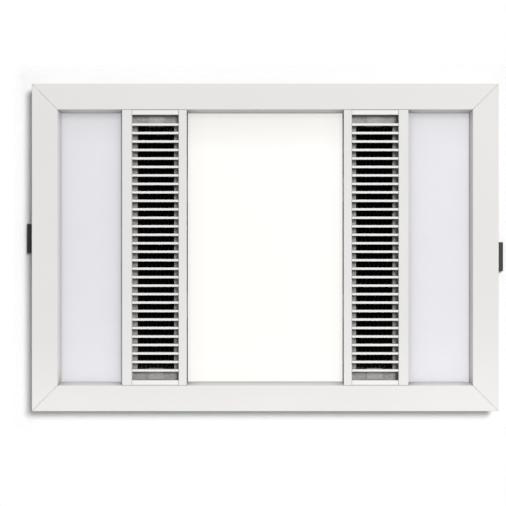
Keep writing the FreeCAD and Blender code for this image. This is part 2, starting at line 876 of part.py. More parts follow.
def heater_tray():
    """Right-hand tray: plate with the heater's opening, ends turned up against the long walls."""
    y1 = wall_y - sheet
    plate = block(tray_x0, tray_x1, -y1, y1, tray_height, z_tray)
    z1 = z_tray + tray_fold
    folds = [block(tray_x0, tray_x1, end * (y1 - sheet), end * y1, z_tray, z1) for end in ENDS]
    holes = [slab(x_mid, 0, opening_width / 2, opening_length / 2, tray_height, z_tray)]
    holes += [screw_hole(*seat, screw_length) for seat in tray_screw_seats()]
    holes += [rivet_hole(*seat) for seat in foot_rivet_seats()]
    for sy in ENDS:
        place = V(stud_x, sy * stud_y, tray_height)
        holes.append(rod(receiver_radius + hole_fit, place, UP, sheet))
    return cut_holes(join(plate, folds), holes)


def foot_rivet_seats():
    """Seats, under the right-hand tray, of the rivets of the heat shield and of the light tray."""
    reach = shield_half + shield_foot / 2
    seats = []
    for x in (x_mid - reach, x_mid + reach):
        for y in (-y_foot_end, 0, y_foot_end):
            seats.append((V(x, y, tray_height), UP))
    for y in (-light_foot_spread, light_foot_spread):
        seats.append((V(light_foot_x(), y, tray_height), UP))
    return seats


def light_foot_x():
    """Middle of the light tray's feet on the right-hand heater tray."""
    return tray_x0 + light_foot_reach / 2


def heat_shield():
    """Right-hand trough over the heating element, on feet, with air slots in its top."""
    shell = slab(x_mid, 0, shield_half, y_shield, z_tray, z_shield)
    shell = shell.cut(slab(x_mid, 0, shield_half - sheet, y_shield - sheet, z_tray, z_shield - sheet))
    feet = []
    for s in ENDS:
        x0 = x_mid + s * shield_half
        for y in (-y_foot_end, 0, y_foot_end):
            y0 = y - foot_length / 2
            feet.append(block(x0, x0 + s * shield_foot, y0, y0 + foot_length, z_tray, z_tray + sheet))
    holes = [rivet_hole(*seat) for seat in foot_rivet_seats()]
    for n in range(vent_count):
        y0 = vent_bridge + n * vent_pitch - y_shield
        y1 = y0 + vent_pitch - vent_bridge
        for s in ENDS:
            x0 = x_mid + s * vent_width / 2
            holes.append(block(x0, x0 + s * vent_width, y0, y1, z_shield - sheet, z_shield))
    return cut_holes(join(shell, feet), holes)


def heating_element():
    """Right-hand finned profile with a bored boss for its rod; the fins run on under the insulators."""
    half = opening_width / 2 - element_gap
    base = slab(x_mid, 0, half, y_element, z_base, z_base + element_base)
    fins = []
    pitch = (2 * half - fin_thickness) / (fin_count - 1)
    for n in range(fin_count):
        x = x_mid - half + fin_thickness / 2 + n * pitch
        fins.append(slab(x, 0, fin_thickness / 2, y_element, z_fins, z_base))
        fins.append(slab(x, 0, fin_thickness / 2, y_fins, z_fins, z_fin_tip))
    axis = V(x_mid, -y_element, z_rod)
    boss = rod(rod_radius + rod_boss_wall, axis, ALONG_Y, 2 * y_element)
    boss = boss.cut(slab(x_mid, 0, half, y_element, z_fins, z_base))
    bore = rod(rod_radius + rod_fit, axis, ALONG_Y, 2 * y_element)
    return join(base, fins + [boss]).cut(bore)


def heating_rod(sx):
    """Sheathed heating rod through an element."""
    return rod(rod_radius, V(sx * x_mid, -y_rod, z_rod), ALONG_Y, 2 * y_rod)


def element_clip(sx, end):
    """Clip under the tray that carries one end of an element's rod in its insulator."""
    x0 = sx * x_mid - clip_tab_width / 2
    x1 = x0 + clip_tab_width
    y0 = end * (y_leg - clip_tab_thickness)
    z0 = tray_height - clip_tab_thickness
    tab = block(x0, x1, y0, end * (y_bar - clip_tab_margin), z0, tray_height)
    leg = block(x0, x1, y0, end * y_leg, z0, z_clip)
    hole = rod(insulator_radius + hole_fit, V(sx * x_mid, y0, z_rod), V(0, end, 0), clip_tab_thickness)
    return join(tab, [leg]).cut(hole)


def rod_insulator(sx, end):
    """Flanged ceramic bush on a rod's end."""
    inner = y_leg - clip_tab_thickness - insulator_flange
    start = V(sx * x_mid, end * inner, z_rod)
    along = V(0, end, 0)
    flange = rod(insulator_flange_radius, start, along, insulator_flange)
    length = insulator_flange + clip_tab_thickness + insulator_neck
    neck = rod(insulator_radius, start, along, length)
    return join(flange, [neck]).cut(rod(rod_radius + rod_fit, start, along, length))


def thermal_cutout(sx):
    """Disc thermostat on a heat shield, with its two blade tabs."""
    foot = V(sx * x_mid, vent_pitch / 2, z_shield)
    disc = rod(cutout_radius, foot, UP, cutout_height)
    tabs = []
    for s in ENDS:
        x0 = foot.x + s * cutout_radius / 2
        y0 = foot.y - cutout_tab / 2
        z0 = z_shield + cutout_height
        tabs.append(block(x0, x0 + s * sheet, y0, y0 + cutout_tab, z0, z0 + cutout_tab))
    return join(disc, tabs)


def stud_receiver(sx, sy):
    """Nylon bush in a heater tray that grips one of the fascia's studs."""
    foot = V(sx * stud_x, sy * stud_y, tray_height)
    body = rod(receiver_radius, foot, UP, receiver_height)
    flange = rod(receiver_flange_radius, foot + UP * sheet, UP, receiver_flange)
    return join(body, [flange]).cut(rod(stud_radius + stud_fit, foot, UP, receiver_height))


def light_tray():
    """White pan over the diffuser, open below, on feet that lie on the heater trays."""
    shell = slab(0, 0, light_half, light_y, tray_height, z_light)
    shell = shell.cut(slab(0, 0, light_half - sheet, light_y - sheet, tray_height, z_light - sheet))
    feet = []
    for s in ENDS:
        for y in (-light_foot_spread, light_foot_spread):
            y0 = y - light_foot_length / 2
            x1 = s * (tray_x0 + light_foot_reach)
            feet.append(block(s * light_half, x1, y0, y0 + light_foot_length, z_tray, z_tray + sheet))
    tray = join(shell, feet)
    holes = [rivet_hole(*seat) for seat in foot_rivet_seats()]
    holes += [mirrored(hole) for hole in holes]
    holes += [screw_hole(*seat, screw_length) for seat in driver_screw_seats()]
    return cut_holes(tray, holes)


def led_board(n):
    """One strip of lamps under the top of the light tray."""
    z1 = z_light - sheet
    y1 = light_y - sheet - board_end_gap
    return slab(n * board_pitch, 0, board_width / 2, y1, z1 - board_thickness, z1)


def ears(x, y, length, ear, base, thickness):
    """Flat strip under a case, with a screw hole past each of its ends."""
    strip = slab(x, y, ear / 2, length / 2 + ear, base, base + thickness)
    seats = ear_screw_seats(x, y, length, ear, thickness, base)
    return cut_holes(strip, [screw_hole(*seat, thickness) for seat in seats])


def led_driver():
    """Supply for the lamps, on top of the light tray."""
    x = driver_x
    y = driver_y
    top = z_light + driver_height
    case = rounded_slab(x, y, driver_width / 2, driver_length / 2, z_light, top, driver_corner)
    return join(case, [ears(x, y, driver_length, driver_ear, z_light, sheet)])


def capacitor():
    """Motor capacitor on the roof."""
    base = housing_height
    top = base + capacitor_height
    x = capacitor_x
    y = capacitor_y
    case = rounded_slab(x, y, capacitor_width / 2, capacitor_length / 2, base, top, capacitor_corner)
    return join(case, [ears(x, y, capacitor_length, capacitor_ear, base, capacitor_ear_thickness)])


def scroll_outline(grow, z):
    """Scroll in plan: three growing quarter arcs, the outlet and the tongue, moved out by grow."""
    turn = V(x_outlet0 - tongue_radius, fan_y + half_step - arc_a - tongue_radius, z)
    arcs = [
        quarter(V(fan_x - half_step, fan_y + half_step, z), arc_a + grow, 270),
        quarter(V(fan_x + half_step, fan_y + half_step, z), arc_b + grow, 180),
        quarter(V(fan_x + half_step, fan_y - half_step, z), arc_c + grow, 90),
    ]
    start = arcs[0].Vertexes[0].Point
    end = arcs[2].Vertexes[1].Point
    tongue = quarter(turn, tongue_radius - grow, 90)
    mouth = [
        end,
        V(x_outlet1 + grow, y_outlet, z),
        V(x_outlet0 - grow, y_outlet, z),
        tongue.Vertexes[1].Point,
    ]
    lines = [Part.makeLine(a, b) for a, b in zip(mouth, mouth[1:])]
    lines.append(Part.makeLine(tongue.Vertexes[0].Point, start))
    return Part.Face(Part.Wire(Part.__sortEdges__(arcs + lines + [tongue])))


def blower_scroll():
    """Scroll wall between the inlet plate and the roof, with bosses for its screws."""
    height = z_roof - z_scroll
    wall = scroll_outline(scroll_wall, z_scroll).extrude(UP * height)
    space = scroll_outline(0.0, z_scroll).extrude(UP * height)
    bosses = [rod(boss_radius, V(x, y, z_scroll), UP, height) for x, y in boss_places()]
    shell = join(wall, bosses).cut(space)
    return cut_holes(shell, [screw_hole(*seat, screw_length) for seat in scroll_screw_seats()])


def blower_inlet():
    """Floor of the scroll, with a flared ring round the impeller's eye."""
    plate = scroll_outline(scroll_wall, inlet_height).extrude(UP * inlet_plate)
    lugs = [rod(boss_radius, V(x, y, inlet_height), UP, inlet_plate) for x, y in boss_places()]
    centre = V(fan_x, fan_y, inlet_height - inlet_lip)
    outer = inlet_radius + scroll_wall
    flare = Part.makeCone(outer + inlet_lip, outer, inlet_lip, centre)
    inlet = join(plate, lugs + [flare])
    inlet = inlet.cut(Part.makeCone(inlet_radius + inlet_lip, inlet_radius, inlet_lip, centre))
    inlet = inlet.cut(rod(inlet_radius, V(fan_x, fan_y, inlet_height), UP, inlet_plate))
    return cut_holes(inlet, [screw_hole(*seat, screw_length) for seat in scroll_screw_seats()])


def blade(n):
    """One curved blade between the impeller's eye and its rim."""
    lean = 360.0 * n / blade_count
    width = math.degrees(blade_thickness / impeller_eye)
    middle = (impeller_eye + impeller_radius) / 2
    rim = impeller_radius - blade_thickness / 2
    path = ((impeller_eye, 0.0), (middle, blade_bend), (rim, blade_sweep))
    axis = V(fan_x, fan_y, z_impeller0)

    def side(turn):
        points = []
        for radius, degrees in path:
            angle = math.radians(lean + turn - degrees)
            points.append(axis + V(radius * math.cos(angle), radius * math.sin(angle), 0))
        return points

    near = side(0.0)
    far = side(width)
    edges = [
        Part.Arc(*near).toShape(),
        Part.makeLine(near[2], far[2]),
        Part.Arc(*far).toShape(),
        Part.makeLine(far[0], near[0]),
    ]
    outline = Part.Wire(Part.__sortEdges__(edges))
    return Part.Face(outline).extrude(UP * (z_impeller1 - z_impeller0))


def impeller():
    """Squirrel-cage impeller: back plate, hub, curved blades and the ring that ties their free ends."""
    axis = V(fan_x, fan_y, 0)
    back = rod(impeller_radius, axis + UP * (z_impeller1 - impeller_plate), UP, impeller_plate)
    hub = rod(hub_radius, axis + UP * (z_impeller1 - hub_height), UP, hub_height)
    ring = tube(impeller_radius, impeller_eye, axis + UP * z_impeller0, UP, impeller_plate)
    wheel = join(back, [hub, ring] + [blade(n) for n in range(blade_count)])
    bore = rod(shaft_radius + hole_fit, axis + UP * (z_impeller1 - hub_height), UP, hub_height)
    return wheel.cut(bore)


def damper_lug(s):
    """Lug inside the spigot that holds one end of the damper's pin."""
    x0 = spigot_x + s * knuckle_half
    x1 = spigot_x + s * spigot_radius
    half = lug_width / 2
    lug = block(x0, x1, y_hinge - half, y_hinge + half, z_hinge - half, z_hinge + half)
    return lug.common(rod(spigot_radius, V(spigot_x, -wall_y, spigot_z), V(0, -1, 0), spigot_length))


def duct_spigot():
    """Round duct outlet with its flange, the ledge that the damper shuts on and the pin's lugs."""
    out = V(0, -1, 0)
    foot = V(spigot_x, -wall_y, spigot_z)
    pipe = tube(spigot_radius, spigot_bore, foot, out, spigot_length)
    flange = tube(spigot_radius + spigot_flange, spigot_bore, foot, out, spigot_flange_thickness)
    top = housing_height - skirt_depth - spigot_skirt_gap
    reach = spigot_radius + spigot_flange
    flange = flange.common(slab(spigot_x, -wall_y, reach, spigot_flange_thickness, 0, top))
    ledge_foot = V(spigot_x, y_hinge + damper_thickness / 2 + damper_gap, spigot_z)
    hole = rod(spigot_bore - seat_ring, ledge_foot, ALONG_Y, seat_ring_thickness)
    room = knuckle_radius + knuckle_clear
    hole = hole.common(slab(spigot_x, ledge_foot.y, spigot_bore, spigot_length, 0, z_hinge + room))
    ledge = rod(spigot_bore, ledge_foot, ALONG_Y, seat_ring_thickness).cut(hole)
    ledge = ledge.cut(slab(spigot_x, y_hinge, knuckle_half, room, z_hinge - room, z_hinge + room))
    spigot = join(pipe, [flange, ledge] + [damper_lug(s) for s in ENDS])
    holes = [screw_hole(*seat, spigot_flange_thickness) for seat in spigot_screw_seats()]
    holes.append(damper_pin(damper_pin_radius + hole_fit))
    return cut_holes(spigot, holes)


def damper_pin(radius):
    """Pin across the spigot at the damper's hinge line."""
    half = knuckle_half + lug_length / 2
    return rod(radius, V(spigot_x - half, y_hinge, z_hinge), ALONG_X, 2 * half)


def damper_flap():
    """Gravity flap: a disc below its hinge line, hung from a knuckle on the pin."""
    half = damper_thickness / 2
    disc = rod(damper_radius, V(spigot_x, y_hinge - half, spigot_z), ALONG_Y, damper_thickness)
    disc = disc.common(slab(spigot_x, y_hinge, damper_radius, half, 0, z_hinge))
    side = knuckle_half - damper_gap
    room = lug_width / 2 * math.sqrt(2) + knuckle_clear
    for s in ENDS:
        x0 = spigot_x + s * side
        x1 = spigot_x + s * spigot_radius
        disc = disc.cut(block(x0, x1, y_hinge - half, y_hinge + half, z_hinge - room, z_hinge))
    knuckle = rod(knuckle_radius, V(spigot_x - side, y_hinge, z_hinge), ALONG_X, 2 * side)
    return join(disc, [knuckle]).cut(damper_pin(damper_pin_radius + running_fit))


def motor_plate():
    """Round plate that carries the motor on its rubber grommets."""
    axis = V(fan_x, fan_y, z_plate)
    plate = tube(motor_plate_radius, bush_radius + hole_fit, axis, UP, motor_plate_thickness)
    return cut_holes(plate, [screw_hole(*seat, motor_plate_thickness) for seat in motor_screw_seats()])


def motor_grommet(seat):
    """Rubber bush between the motor's plate and the roof."""
    foot = V(seat.x, seat.y, housing_height)
    return tube(grommet_radius, screw_radius + hole_fit, foot, UP, grommet_height)


def motor_can():
    """Cup over the motor, with cooling slots round its side."""
    axis = V(fan_x, fan_y, z_can)
    can = rounded_rod(can_radius, axis, UP, z_can_top - z_can, can_edge)
    room = rounded_rod(can_radius - can_wall, axis, UP, z_can_top - can_wall - z_can, can_edge - can_wall)
    cap_foot = V(fan_x, fan_y, z_can_top - can_wall)
    cap = rounded_rod(cap_radius, cap_foot, UP, can_wall + cap_height, cap_edge)
    can = join(can.cut(room), [cap])
    z0 = z_can_top - can_wall - can_slot_height
    slot = block(0, can_radius, -can_slot_width / 2, can_slot_width / 2, z0, z0 + can_slot_height)
    slot = slot.cut(rod(can_radius / 2, V(0, 0, z0), UP, can_slot_height))
    for n in range(can_slot_count):
        cut = slot.copy()
        cut.rotate(V(0, 0, 0), UP, 360.0 * n / can_slot_count)
        cut.translate(V(fan_x, fan_y, 0))
        can = can.cut(cut)
    return can


def motor_stator():
    """Ring of iron and windings in the can."""
    foot = V(fan_x, fan_y, z_stator)
    return tube(can_radius - can_wall - can_fit, rotor_radius + air_gap, foot, UP, stator_height)


def motor_bush(lower):
    """Plain bearing: the lower one in the plate, the upper one under the can's top."""
    axis = V(fan_x, fan_y, 0)
    if lower:
        body = rod(bush_radius, axis + UP * z_plate, UP, bush_height)
        flange = rod(bush_flange_radius, axis + UP * z_can, UP, bush_flange)
    else:
        top = z_can_top - can_wall
        body = rod(bush_radius, axis + UP * (top - bush_height), UP, bush_height)
        flange = rod(bush_flange_radius, axis + UP * (top - bush_flange), UP, bush_flange)
    bore = rod(shaft_radius + running_fit, axis + UP * z_plate, UP, z_can_top - z_plate)
    return join(body, [flange]).cut(bore)


def motor_rotor():
    """Shaft with its cast rotor core."""
    axis = V(fan_x, fan_y, 0)
    foot = z_impeller1 - hub_height
    shaft = rod(shaft_radius, axis + UP * foot, UP, z_can_top - can_wall - air_gap - foot)
    return join(shaft, [rod(rotor_radius, axis + UP * z_stator, UP, stator_height)])


def terminal_box():
    """Open box on the roof for the supply terminals, with pillars for its cover's screws."""
    half_l = terminal_length / 2
    half_w = terminal_width / 2
    z_floor = housing_height + terminal_floor
    shell = rounded_slab(terminal_x, terminal_y, half_l, half_w, housing_height, z_terminal, terminal_round)
    inner_l = half_l - terminal_wall
    shell = shell.cut(slab(terminal_x, terminal_y, inner_l, terminal_inner_y, z_floor, z_terminal))
    pillars = []
    for seat, _ in cover_screw_seats():
        foot = V(seat.x, seat.y, housing_height)
        pillars.append(rod(pillar_radius, foot, UP, terminal_height - cover_lip - cover_fit))
    box = join(shell, pillars)
    holes = [screw_hole(*seat, screw_length) for seat in cover_screw_seats()]
    holes += [screw_hole(*seat, terminal_floor) for seat in terminal_screw_seats()]
    holes.append(rod(lead_hole_radius, V(terminal_x, lead_y, housing_height), UP, terminal_floor))
    end = V(terminal_x - half_l, terminal_y, gland_z)
    holes.append(rod(gland_thread_radius + hole_fit, end, ALONG_X, terminal_wall))
    return cut_holes(box, holes)


def terminal_cover():
    """Lid with a lip inside the box's walls."""
    half_l = terminal_length / 2
    half_w = terminal_width / 2
    z0 = z_terminal - cover_lip
    top = z_terminal + cover_thickness
    lid = rounded_slab(terminal_x, terminal_y, half_l, half_w, z_terminal, top, terminal_round)
    half_l -= terminal_wall + cover_fit
    half_w -= terminal_wall + cover_fit
    lip = slab(terminal_x, terminal_y, half_l, half_w, z0, z_terminal)
    half_l -= terminal_wall
    half_w -= terminal_wall
    lip = lip.cut(slab(terminal_x, terminal_y, half_l, half_w, z0, z_terminal))
    return cut_holes(join(lid, [lip]), [screw_hole(*seat, screw_length) for seat in cover_screw_seats()])


def terminal_block():
    """Row of screw terminals on the box's floor."""
    z0 = housing_height + terminal_floor
    z1 = z0 + block_height
    z_cut = z0 + block_height / 2
    x0 = terminal_x - block_length / 2
    body = slab(terminal_x, terminal_y, block_length / 2, block_width / 2, z0, z1)
    pitch = block_length / block_ways
    for n in range(block_ways):
        x = x0 + (n + 0.5) * pitch
        body = body.cut(rod(screw_radius, V(x, terminal_y, z_cut), UP, z1 - z_cut))
    for n in range(1, block_ways):
        x = x0 + n * pitch
        body = body.cut(slab(x, terminal_y, block_notch / 2, block_width / 2, z_cut, z1))
    return body


def hexagon(across, start, axis, length):
    """Hexagonal bar with its length along X, either way."""
    radius = across / math.sqrt(3)
    points = []
    for n in range(6):
        angle = math.pi * n / 3
        points.append(start + V(0, radius * math.cos(angle), radius * math.sin(angle)))
    return prism(points, axis * length)


def cable_gland():
    """Cable gland through the terminal box's end wall, and its lock nut inside."""
    out = V(-1, 0, 0)
    wall = V(terminal_x - terminal_length / 2, terminal_y, gland_z)
    inside = wall + ALONG_X * terminal_wall
    nut = hexagon(gland_hex, inside + ALONG_X * gland_nut_length, out, gland_nut_length)
    nut = nut.cut(rod(gland_thread_radius + hole_fit, inside, ALONG_X, gland_nut_length))
    start = inside + ALONG_X * (gland_nut_length + terminal_wall)
    thread = rod(gland_thread_radius, start, out, gland_nut_length + 2 * terminal_wall)
    collar = hexagon(gland_hex, wall, out, gland_hex_length)
    foot = wall + out * gland_hex_length
    dome = rounded_rod(gland_dome_radius, foot, out, gland_dome_length, gland_dome_edge)
    body = join(collar, [thread, dome])
    length = gland_nut_length + 2 * terminal_wall + gland_hex_length + gland_dome_length
    return [body.cut(rod(gland_bore_radius, start, out, length)), nut]


def toggle():
    """Right-hand ceiling toggle: a nylon arm that folds up about its pin."""
    y0 = toggle_offset - toggle_width / 2
    y1 = toggle_offset + toggle_width / 2
    half = toggle_height / 2
    pivot = V(toggle_x, y0, toggle_z)
    arm = block(toggle_x, toggle_tip, y0, y1, toggle_z - half, toggle_z + half)
    tip = [edge for edge in arm.Edges if edge.BoundBox.XMin > toggle_tip - toggle_tip_radius]
    arm = arm.makeFillet(toggle_tip_radius, [edge for edge in tip if edge.BoundBox.YLength > half])
    heel = rod(half, pivot, ALONG_Y, toggle_width)
    arm = join(arm, [heel])
    bay = (toggle_width - (toggle_bays + 1) * toggle_rib) / toggle_bays
    x0 = toggle_x + half + toggle_rib
    x1 = toggle_tip - toggle_rib - toggle_tip_radius
    for n in range(toggle_bays):
        b0 = y0 + toggle_rib + n * (bay + toggle_rib)
        arm = arm.cut(block(x0, x1, b0, b0 + bay, toggle_z, toggle_z + half))
    return arm.cut(rod(toggle_pin_radius + running_fit, pivot, ALONG_Y, toggle_width))


def bracket_rivet_seats():
    """Seats of a right-hand toggle bracket's two rivets, with the grip that they need."""
    x = wall_x + bracket_thickness
    z = (bracket_top + toggle_z + toggle_height / 2) / 2
    reach = toggle_width / 4
    grip = bracket_thickness + sheet
    return [(V(x, toggle_offset + s * reach, z), V(-1, 0, 0), grip) for s in ENDS]


def toggle_bracket():
    """Right-hand bracket: plate on the end wall, two ears for the pin and a shelf that stops the toggle."""
    outer = ear_gap + bracket_thickness
    x0 = wall_x
    x1 = toggle_x + toggle_pin_radius + ear_margin
    z0 = board_thickness_max - toggle_shelf_gap - bracket_thickness
    y = toggle_offset
    plate = block(x0, x0 + bracket_thickness, y - outer, y + outer, z0, bracket_top)
    shelf = block(x0, x1, y - outer, y + outer, z0, z0 + bracket_thickness)
    ear_top = toggle_z + toggle_height
    cheeks = [block(x0, x1, y + s * ear_gap, y + s * outer, z0, ear_top) for s in ENDS]
    holes = [rivet_hole(*seat) for seat in bracket_rivet_seats()]
    holes.append(toggle_pin(toggle_pin_radius + hole_fit))
    return cut_holes(join(plate, [shelf] + cheeks), holes)


def toggle_pin(radius):
    """Right-hand toggle's pin, through the bracket's ears."""
    half = ear_gap + bracket_thickness
    return rod(radius, V(toggle_x, toggle_offset - half, toggle_z), ALONG_Y, 2 * half)


def save_fascia():
    """Everything that drops with the fascia."""
    middles = rail_key_middles()
    places = middles + [-x for x in middles]
    save("frame_rear", [frame_member(fascia_length, 0, V(0, -half_y, 0), places)])
    save("frame_front", [frame_member(fascia_length, 180, V(0, half_y, 0), places)])
    save("frame_right", [frame_member(fascia_width, 90, V(half_x, 0, 0), [])])
    save("frame_left", [frame_member(fascia_width, 270, V(-half_x, 0, 0), [])])
    save("corner_keys", [corner_key(sx, sy) for sx in ENDS for sy in ENDS])
    keys = []
    for name, *size in RAILS:
        piece = rail(*size)
        save("rail_right_" + name, [piece])
        save("rail_left_" + name, [mirrored(piece)])
        for end in ENDS:
            key = rail_key(size, end)
            keys += [key, mirrored(key)]
    save("rail_keys", keys)
    save("fascia_screws", [key_screw(x, end) for x in places for end in ENDS])
    for name, piece in (("louvre", louvre()), ("side_panel", side_panel())):
        save(name + "_right", [piece])
        save(name + "_left", [mirrored(piece)])
    save("light_diffuser", [light_diffuser()])
    save("panel_clips", panel_clips())
    save("fascia_studs", [fascia_stud(sx, sy) for sx in ENDS for sy in ENDS])


def save_housing():
    """The sheet-steel box and its fasteners."""
    save("wall_rear", [long_wall(-1)])
    save("wall_front", [long_wall(1)])
    right_wall = end_wall()
    save("wall_right", [right_wall])
    save("wall_left", [half_turn(right_wall)])
    save("roof", [roof()])
    rivets = [rivet(*seat) for seat in corner_rivet_seats() + skirt_rivet_seats()]
    feet = [rivet(*seat) for seat in foot_rivet_seats()]
    rivets += feet + [mirrored(foot) for foot in feet]
    brackets = [rivet(*seat) for seat in bracket_rivet_seats()]
    rivets += brackets + [half_turn(piece) for piece in brackets]
    save("housing_rivets", rivets)
    seats = tray_screw_seats() + spigot_screw_seats() + motor_screw_seats() + scroll_screw_seats()
    seats += cover_screw_seats() + terminal_screw_seats() + capacitor_screw_seats() + driver_screw_seats()
    save("housing_screws", [screw(*seat) for seat in seats])


def save_heaters():
    """Two heaters, one behind each grille."""
    for maker in (heater_tray, heat_shield, heating_element):
        name = maker.__name__
        piece = maker()
        save(name + "_right", [piece])
        save(name + "_left", [mirrored(piece)])
    save("heating_rods", [heating_rod(sx) for sx in ENDS])
    save("element_clips", [element_clip(sx, end) for sx in ENDS for end in ENDS])
    save("rod_insulators", [rod_insulator(sx, end) for sx in ENDS for end in ENDS])
    save("thermal_cutouts", [thermal_cutout(sx) for sx in ENDS])
    save("stud_receivers", [stud_receiver(sx, sy) for sx in ENDS for sy in ENDS])


def save_light():
    """Lamp tray, boards and driver."""
    save("light_tray", [light_tray()])
    save("led_boards", [led_board(n) for n in (-1, 0, 1)])
    save("led_driver", [led_driver()])


def save_blower():
    """Scroll, impeller, motor and the duct outlet with its damper."""
    save("blower_scroll", [blower_scroll()])
    save("blower_inlet", [blower_inlet()])
    save("impeller", [impeller()])
    save("duct_spigot", [duct_spigot()])
    save("damper_flap", [damper_flap()])
    save("motor_plate", [motor_plate()])
    save("motor_grommets", [motor_grommet(seat) for seat, _ in motor_screw_seats()])
    save("motor_can", [motor_can()])
    save("motor_stator", [motor_stator()])
    save("motor_bushes", [motor_bush(True), motor_bush(False)])
    save("motor_rotor", [motor_rotor()])
    save("capacitor", [capacitor()])


def save_supply():
    """Terminal box and cable gland."""
    save("terminal_box", [terminal_box()])
    save("terminal_cover", [terminal_cover()])
    save("terminal_block", [terminal_block()])
    save("cable_gland", cable_gland())


def save_toggles():
    """Ceiling toggles: the left one is the right one turned half a turn."""
    arm = toggle()
    bracket = toggle_bracket()
    pin = toggle_pin(toggle_pin_radius)
    save("toggle_right", [arm])
    save("toggle_left", [half_turn(arm)])
    save("toggle_brackets", [bracket, half_turn(bracket)])
    save("hinge_pins", [pin, half_turn(pin), damper_pin(damper_pin_radius)])


os.makedirs("parts", exist_ok=True)
save_fascia()
save_housing()
save_heaters()
save_light()
save_blower()
save_supply()
save_toggles()
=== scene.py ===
"""Finishes and fine detail of a bathroom ceiling heater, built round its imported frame, and its stage.

Metres, in the frame's own axes: +Z is up into the ceiling void, the lit fascia looks down, and X runs
along its long side.
"""

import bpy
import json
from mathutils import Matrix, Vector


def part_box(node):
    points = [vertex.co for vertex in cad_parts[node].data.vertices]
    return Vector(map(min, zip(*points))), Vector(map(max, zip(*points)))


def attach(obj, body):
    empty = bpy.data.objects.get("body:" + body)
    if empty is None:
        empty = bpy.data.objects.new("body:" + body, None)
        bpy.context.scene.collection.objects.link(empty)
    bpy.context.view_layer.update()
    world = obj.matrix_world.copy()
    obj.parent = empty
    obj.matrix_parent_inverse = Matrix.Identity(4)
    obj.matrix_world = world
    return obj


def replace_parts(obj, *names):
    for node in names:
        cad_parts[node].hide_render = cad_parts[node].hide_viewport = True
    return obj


bl_info = {
    "name": "Bathroom ceiling heater",
    "version": (1, 0, 0),
    "blender": (4, 5, 0),
    "location": "3D View > Sidebar > Heater",
    "description": "Coats the heater's pieces, adds its small detail and sets the stage",
    "category": "Object",
}

import json
import math
from functools import partial

import bmesh
import bpy
from bpy.props import FloatProperty, FloatVectorProperty, IntProperty, PointerProperty
from bpy.types import Operator, Panel, PropertyGroup
from mathutils import Color, Matrix, Vector

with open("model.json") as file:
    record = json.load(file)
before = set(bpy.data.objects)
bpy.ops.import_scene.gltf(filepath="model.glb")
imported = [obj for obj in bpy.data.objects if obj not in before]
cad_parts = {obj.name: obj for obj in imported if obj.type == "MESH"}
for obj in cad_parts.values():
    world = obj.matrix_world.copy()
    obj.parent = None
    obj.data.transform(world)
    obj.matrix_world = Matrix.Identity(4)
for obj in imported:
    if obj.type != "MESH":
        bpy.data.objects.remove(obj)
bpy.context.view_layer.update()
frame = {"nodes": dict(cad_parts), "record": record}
SLOT_OF = {part["node"]: part["material_slot"] for part in frame["record"]["subparts"]}

MM = 0.001
SIDE_LAMPS = 4

# Turn from one screw's recess to the next
GOLDEN_TURN = math.radians(137.5)

# Corners nearer than a weld are one corner, and faces thinner than a sliver are left out of a cut
WELD = 0.002 * MM
SLIVER = 0.02 * MM

# Faces that meet at less than the flat angle are one, and above the sharp angle their edge shows
FLAT_ANGLE = math.radians(0.5)
SHARP_ANGLE = math.radians(35)

# Sides of the turned shapes and steps of the round sections
SCREW_SIDES = 24
RIVET_SIDES = 20
LAMP_FACE_SIDES = 16
HOOP_SIDES = 48
DOME_STEPS = 5
RIB_STEPS = 6

# Shares of a screw's radii, head height, thread pitch and recess
SCREW_RIM = 0.3
SCREW_TIP = 0.5
THREAD_ROOT = 0.8
ROOT_PLACE = 0.1
CREST_PLACE = 0.5
RECESS_OVERSHOOT = 0.2
RECESS_TAPER = 0.5

# Shares of a rivet's head radius and head height
RIVET_RIM = 0.2
DIMPLE_MOUTH = 0.42
DIMPLE_END = 0.36
DIMPLE_FLOOR = 0.4
SET_HEAD_RADIUS = 0.83
SET_HEAD_RIM = 0.3

# Shares of a lamp's width and height, and of the flap's radius
LAMP_FACE_RADIUS = 0.42
LAMP_FACE_HEIGHT = 0.22
HOOP_RADII = (0.3, 0.5)

# Shares of a head's radius that tell axis, shank and rim apart, and the decimals kept of a height
OFF_AXIS = 0.2
NEAR_RIM = 0.9
LEVEL_DIGITS = 5

# Strength at an edge and reach of the painted shade that falls off from it, on the side panels and in
# the lit panel's glow
SEAT_SHADE = (0.0, 1.2 * MM)
PANEL_REAR_SHADE = ((0.76, 10 * MM), (0.92, 45 * MM))
LAMP_REAR_SHADE = (SEAT_SHADE, (0.8, 9 * MM), (0.76, 50 * MM))
LAMP_FRONT_SHADE = (SEAT_SHADE, (0.95, 20 * MM))
LAMP_SIDE_SHADE = ((0.8, 6 * MM), (0.92, 25 * MM))

ENDS = ("left", "right")
FRAME = ("frame_rear", "frame_front", "frame_left", "frame_right")
RAILS = ("rail_left_outer", "rail_left_inner", "rail_right_inner", "rail_right_outer")
LOUVRES = ("louvre_left", "louvre_right")
PANELS = ("side_panel_left", "side_panel_right", "light_diffuser")
FIXINGS = ("corner_keys", "rail_keys", "fascia_screws", "panel_clips", "fascia_studs")
SHEETS = ("wall_rear", "wall_front", "wall_left", "wall_right", "roof")
HEATERS = ("heater_tray", "heat_shield", "heating_element")
HEATER_FITTINGS = ("heating_rods", "rod_insulators", "thermal_cutouts", "stud_receivers")
LAMP = ("light_tray", "led_boards", "led_driver")
BLOWER = ("blower_scroll", "blower_inlet", "impeller", "motor_plate", "motor_grommets")
MOTOR = ("motor_can", "motor_stator", "motor_bushes", "motor_rotor", "capacitor")
DUCT = ("duct_spigot", "damper_flap")
SUPPLY = ("terminal_box", "terminal_cover", "terminal_block", "cable_gland")
TOGGLES = ("toggle_left", "toggle_right")
TOGGLE_FITTINGS = ("toggle_brackets", "hinge_pins")


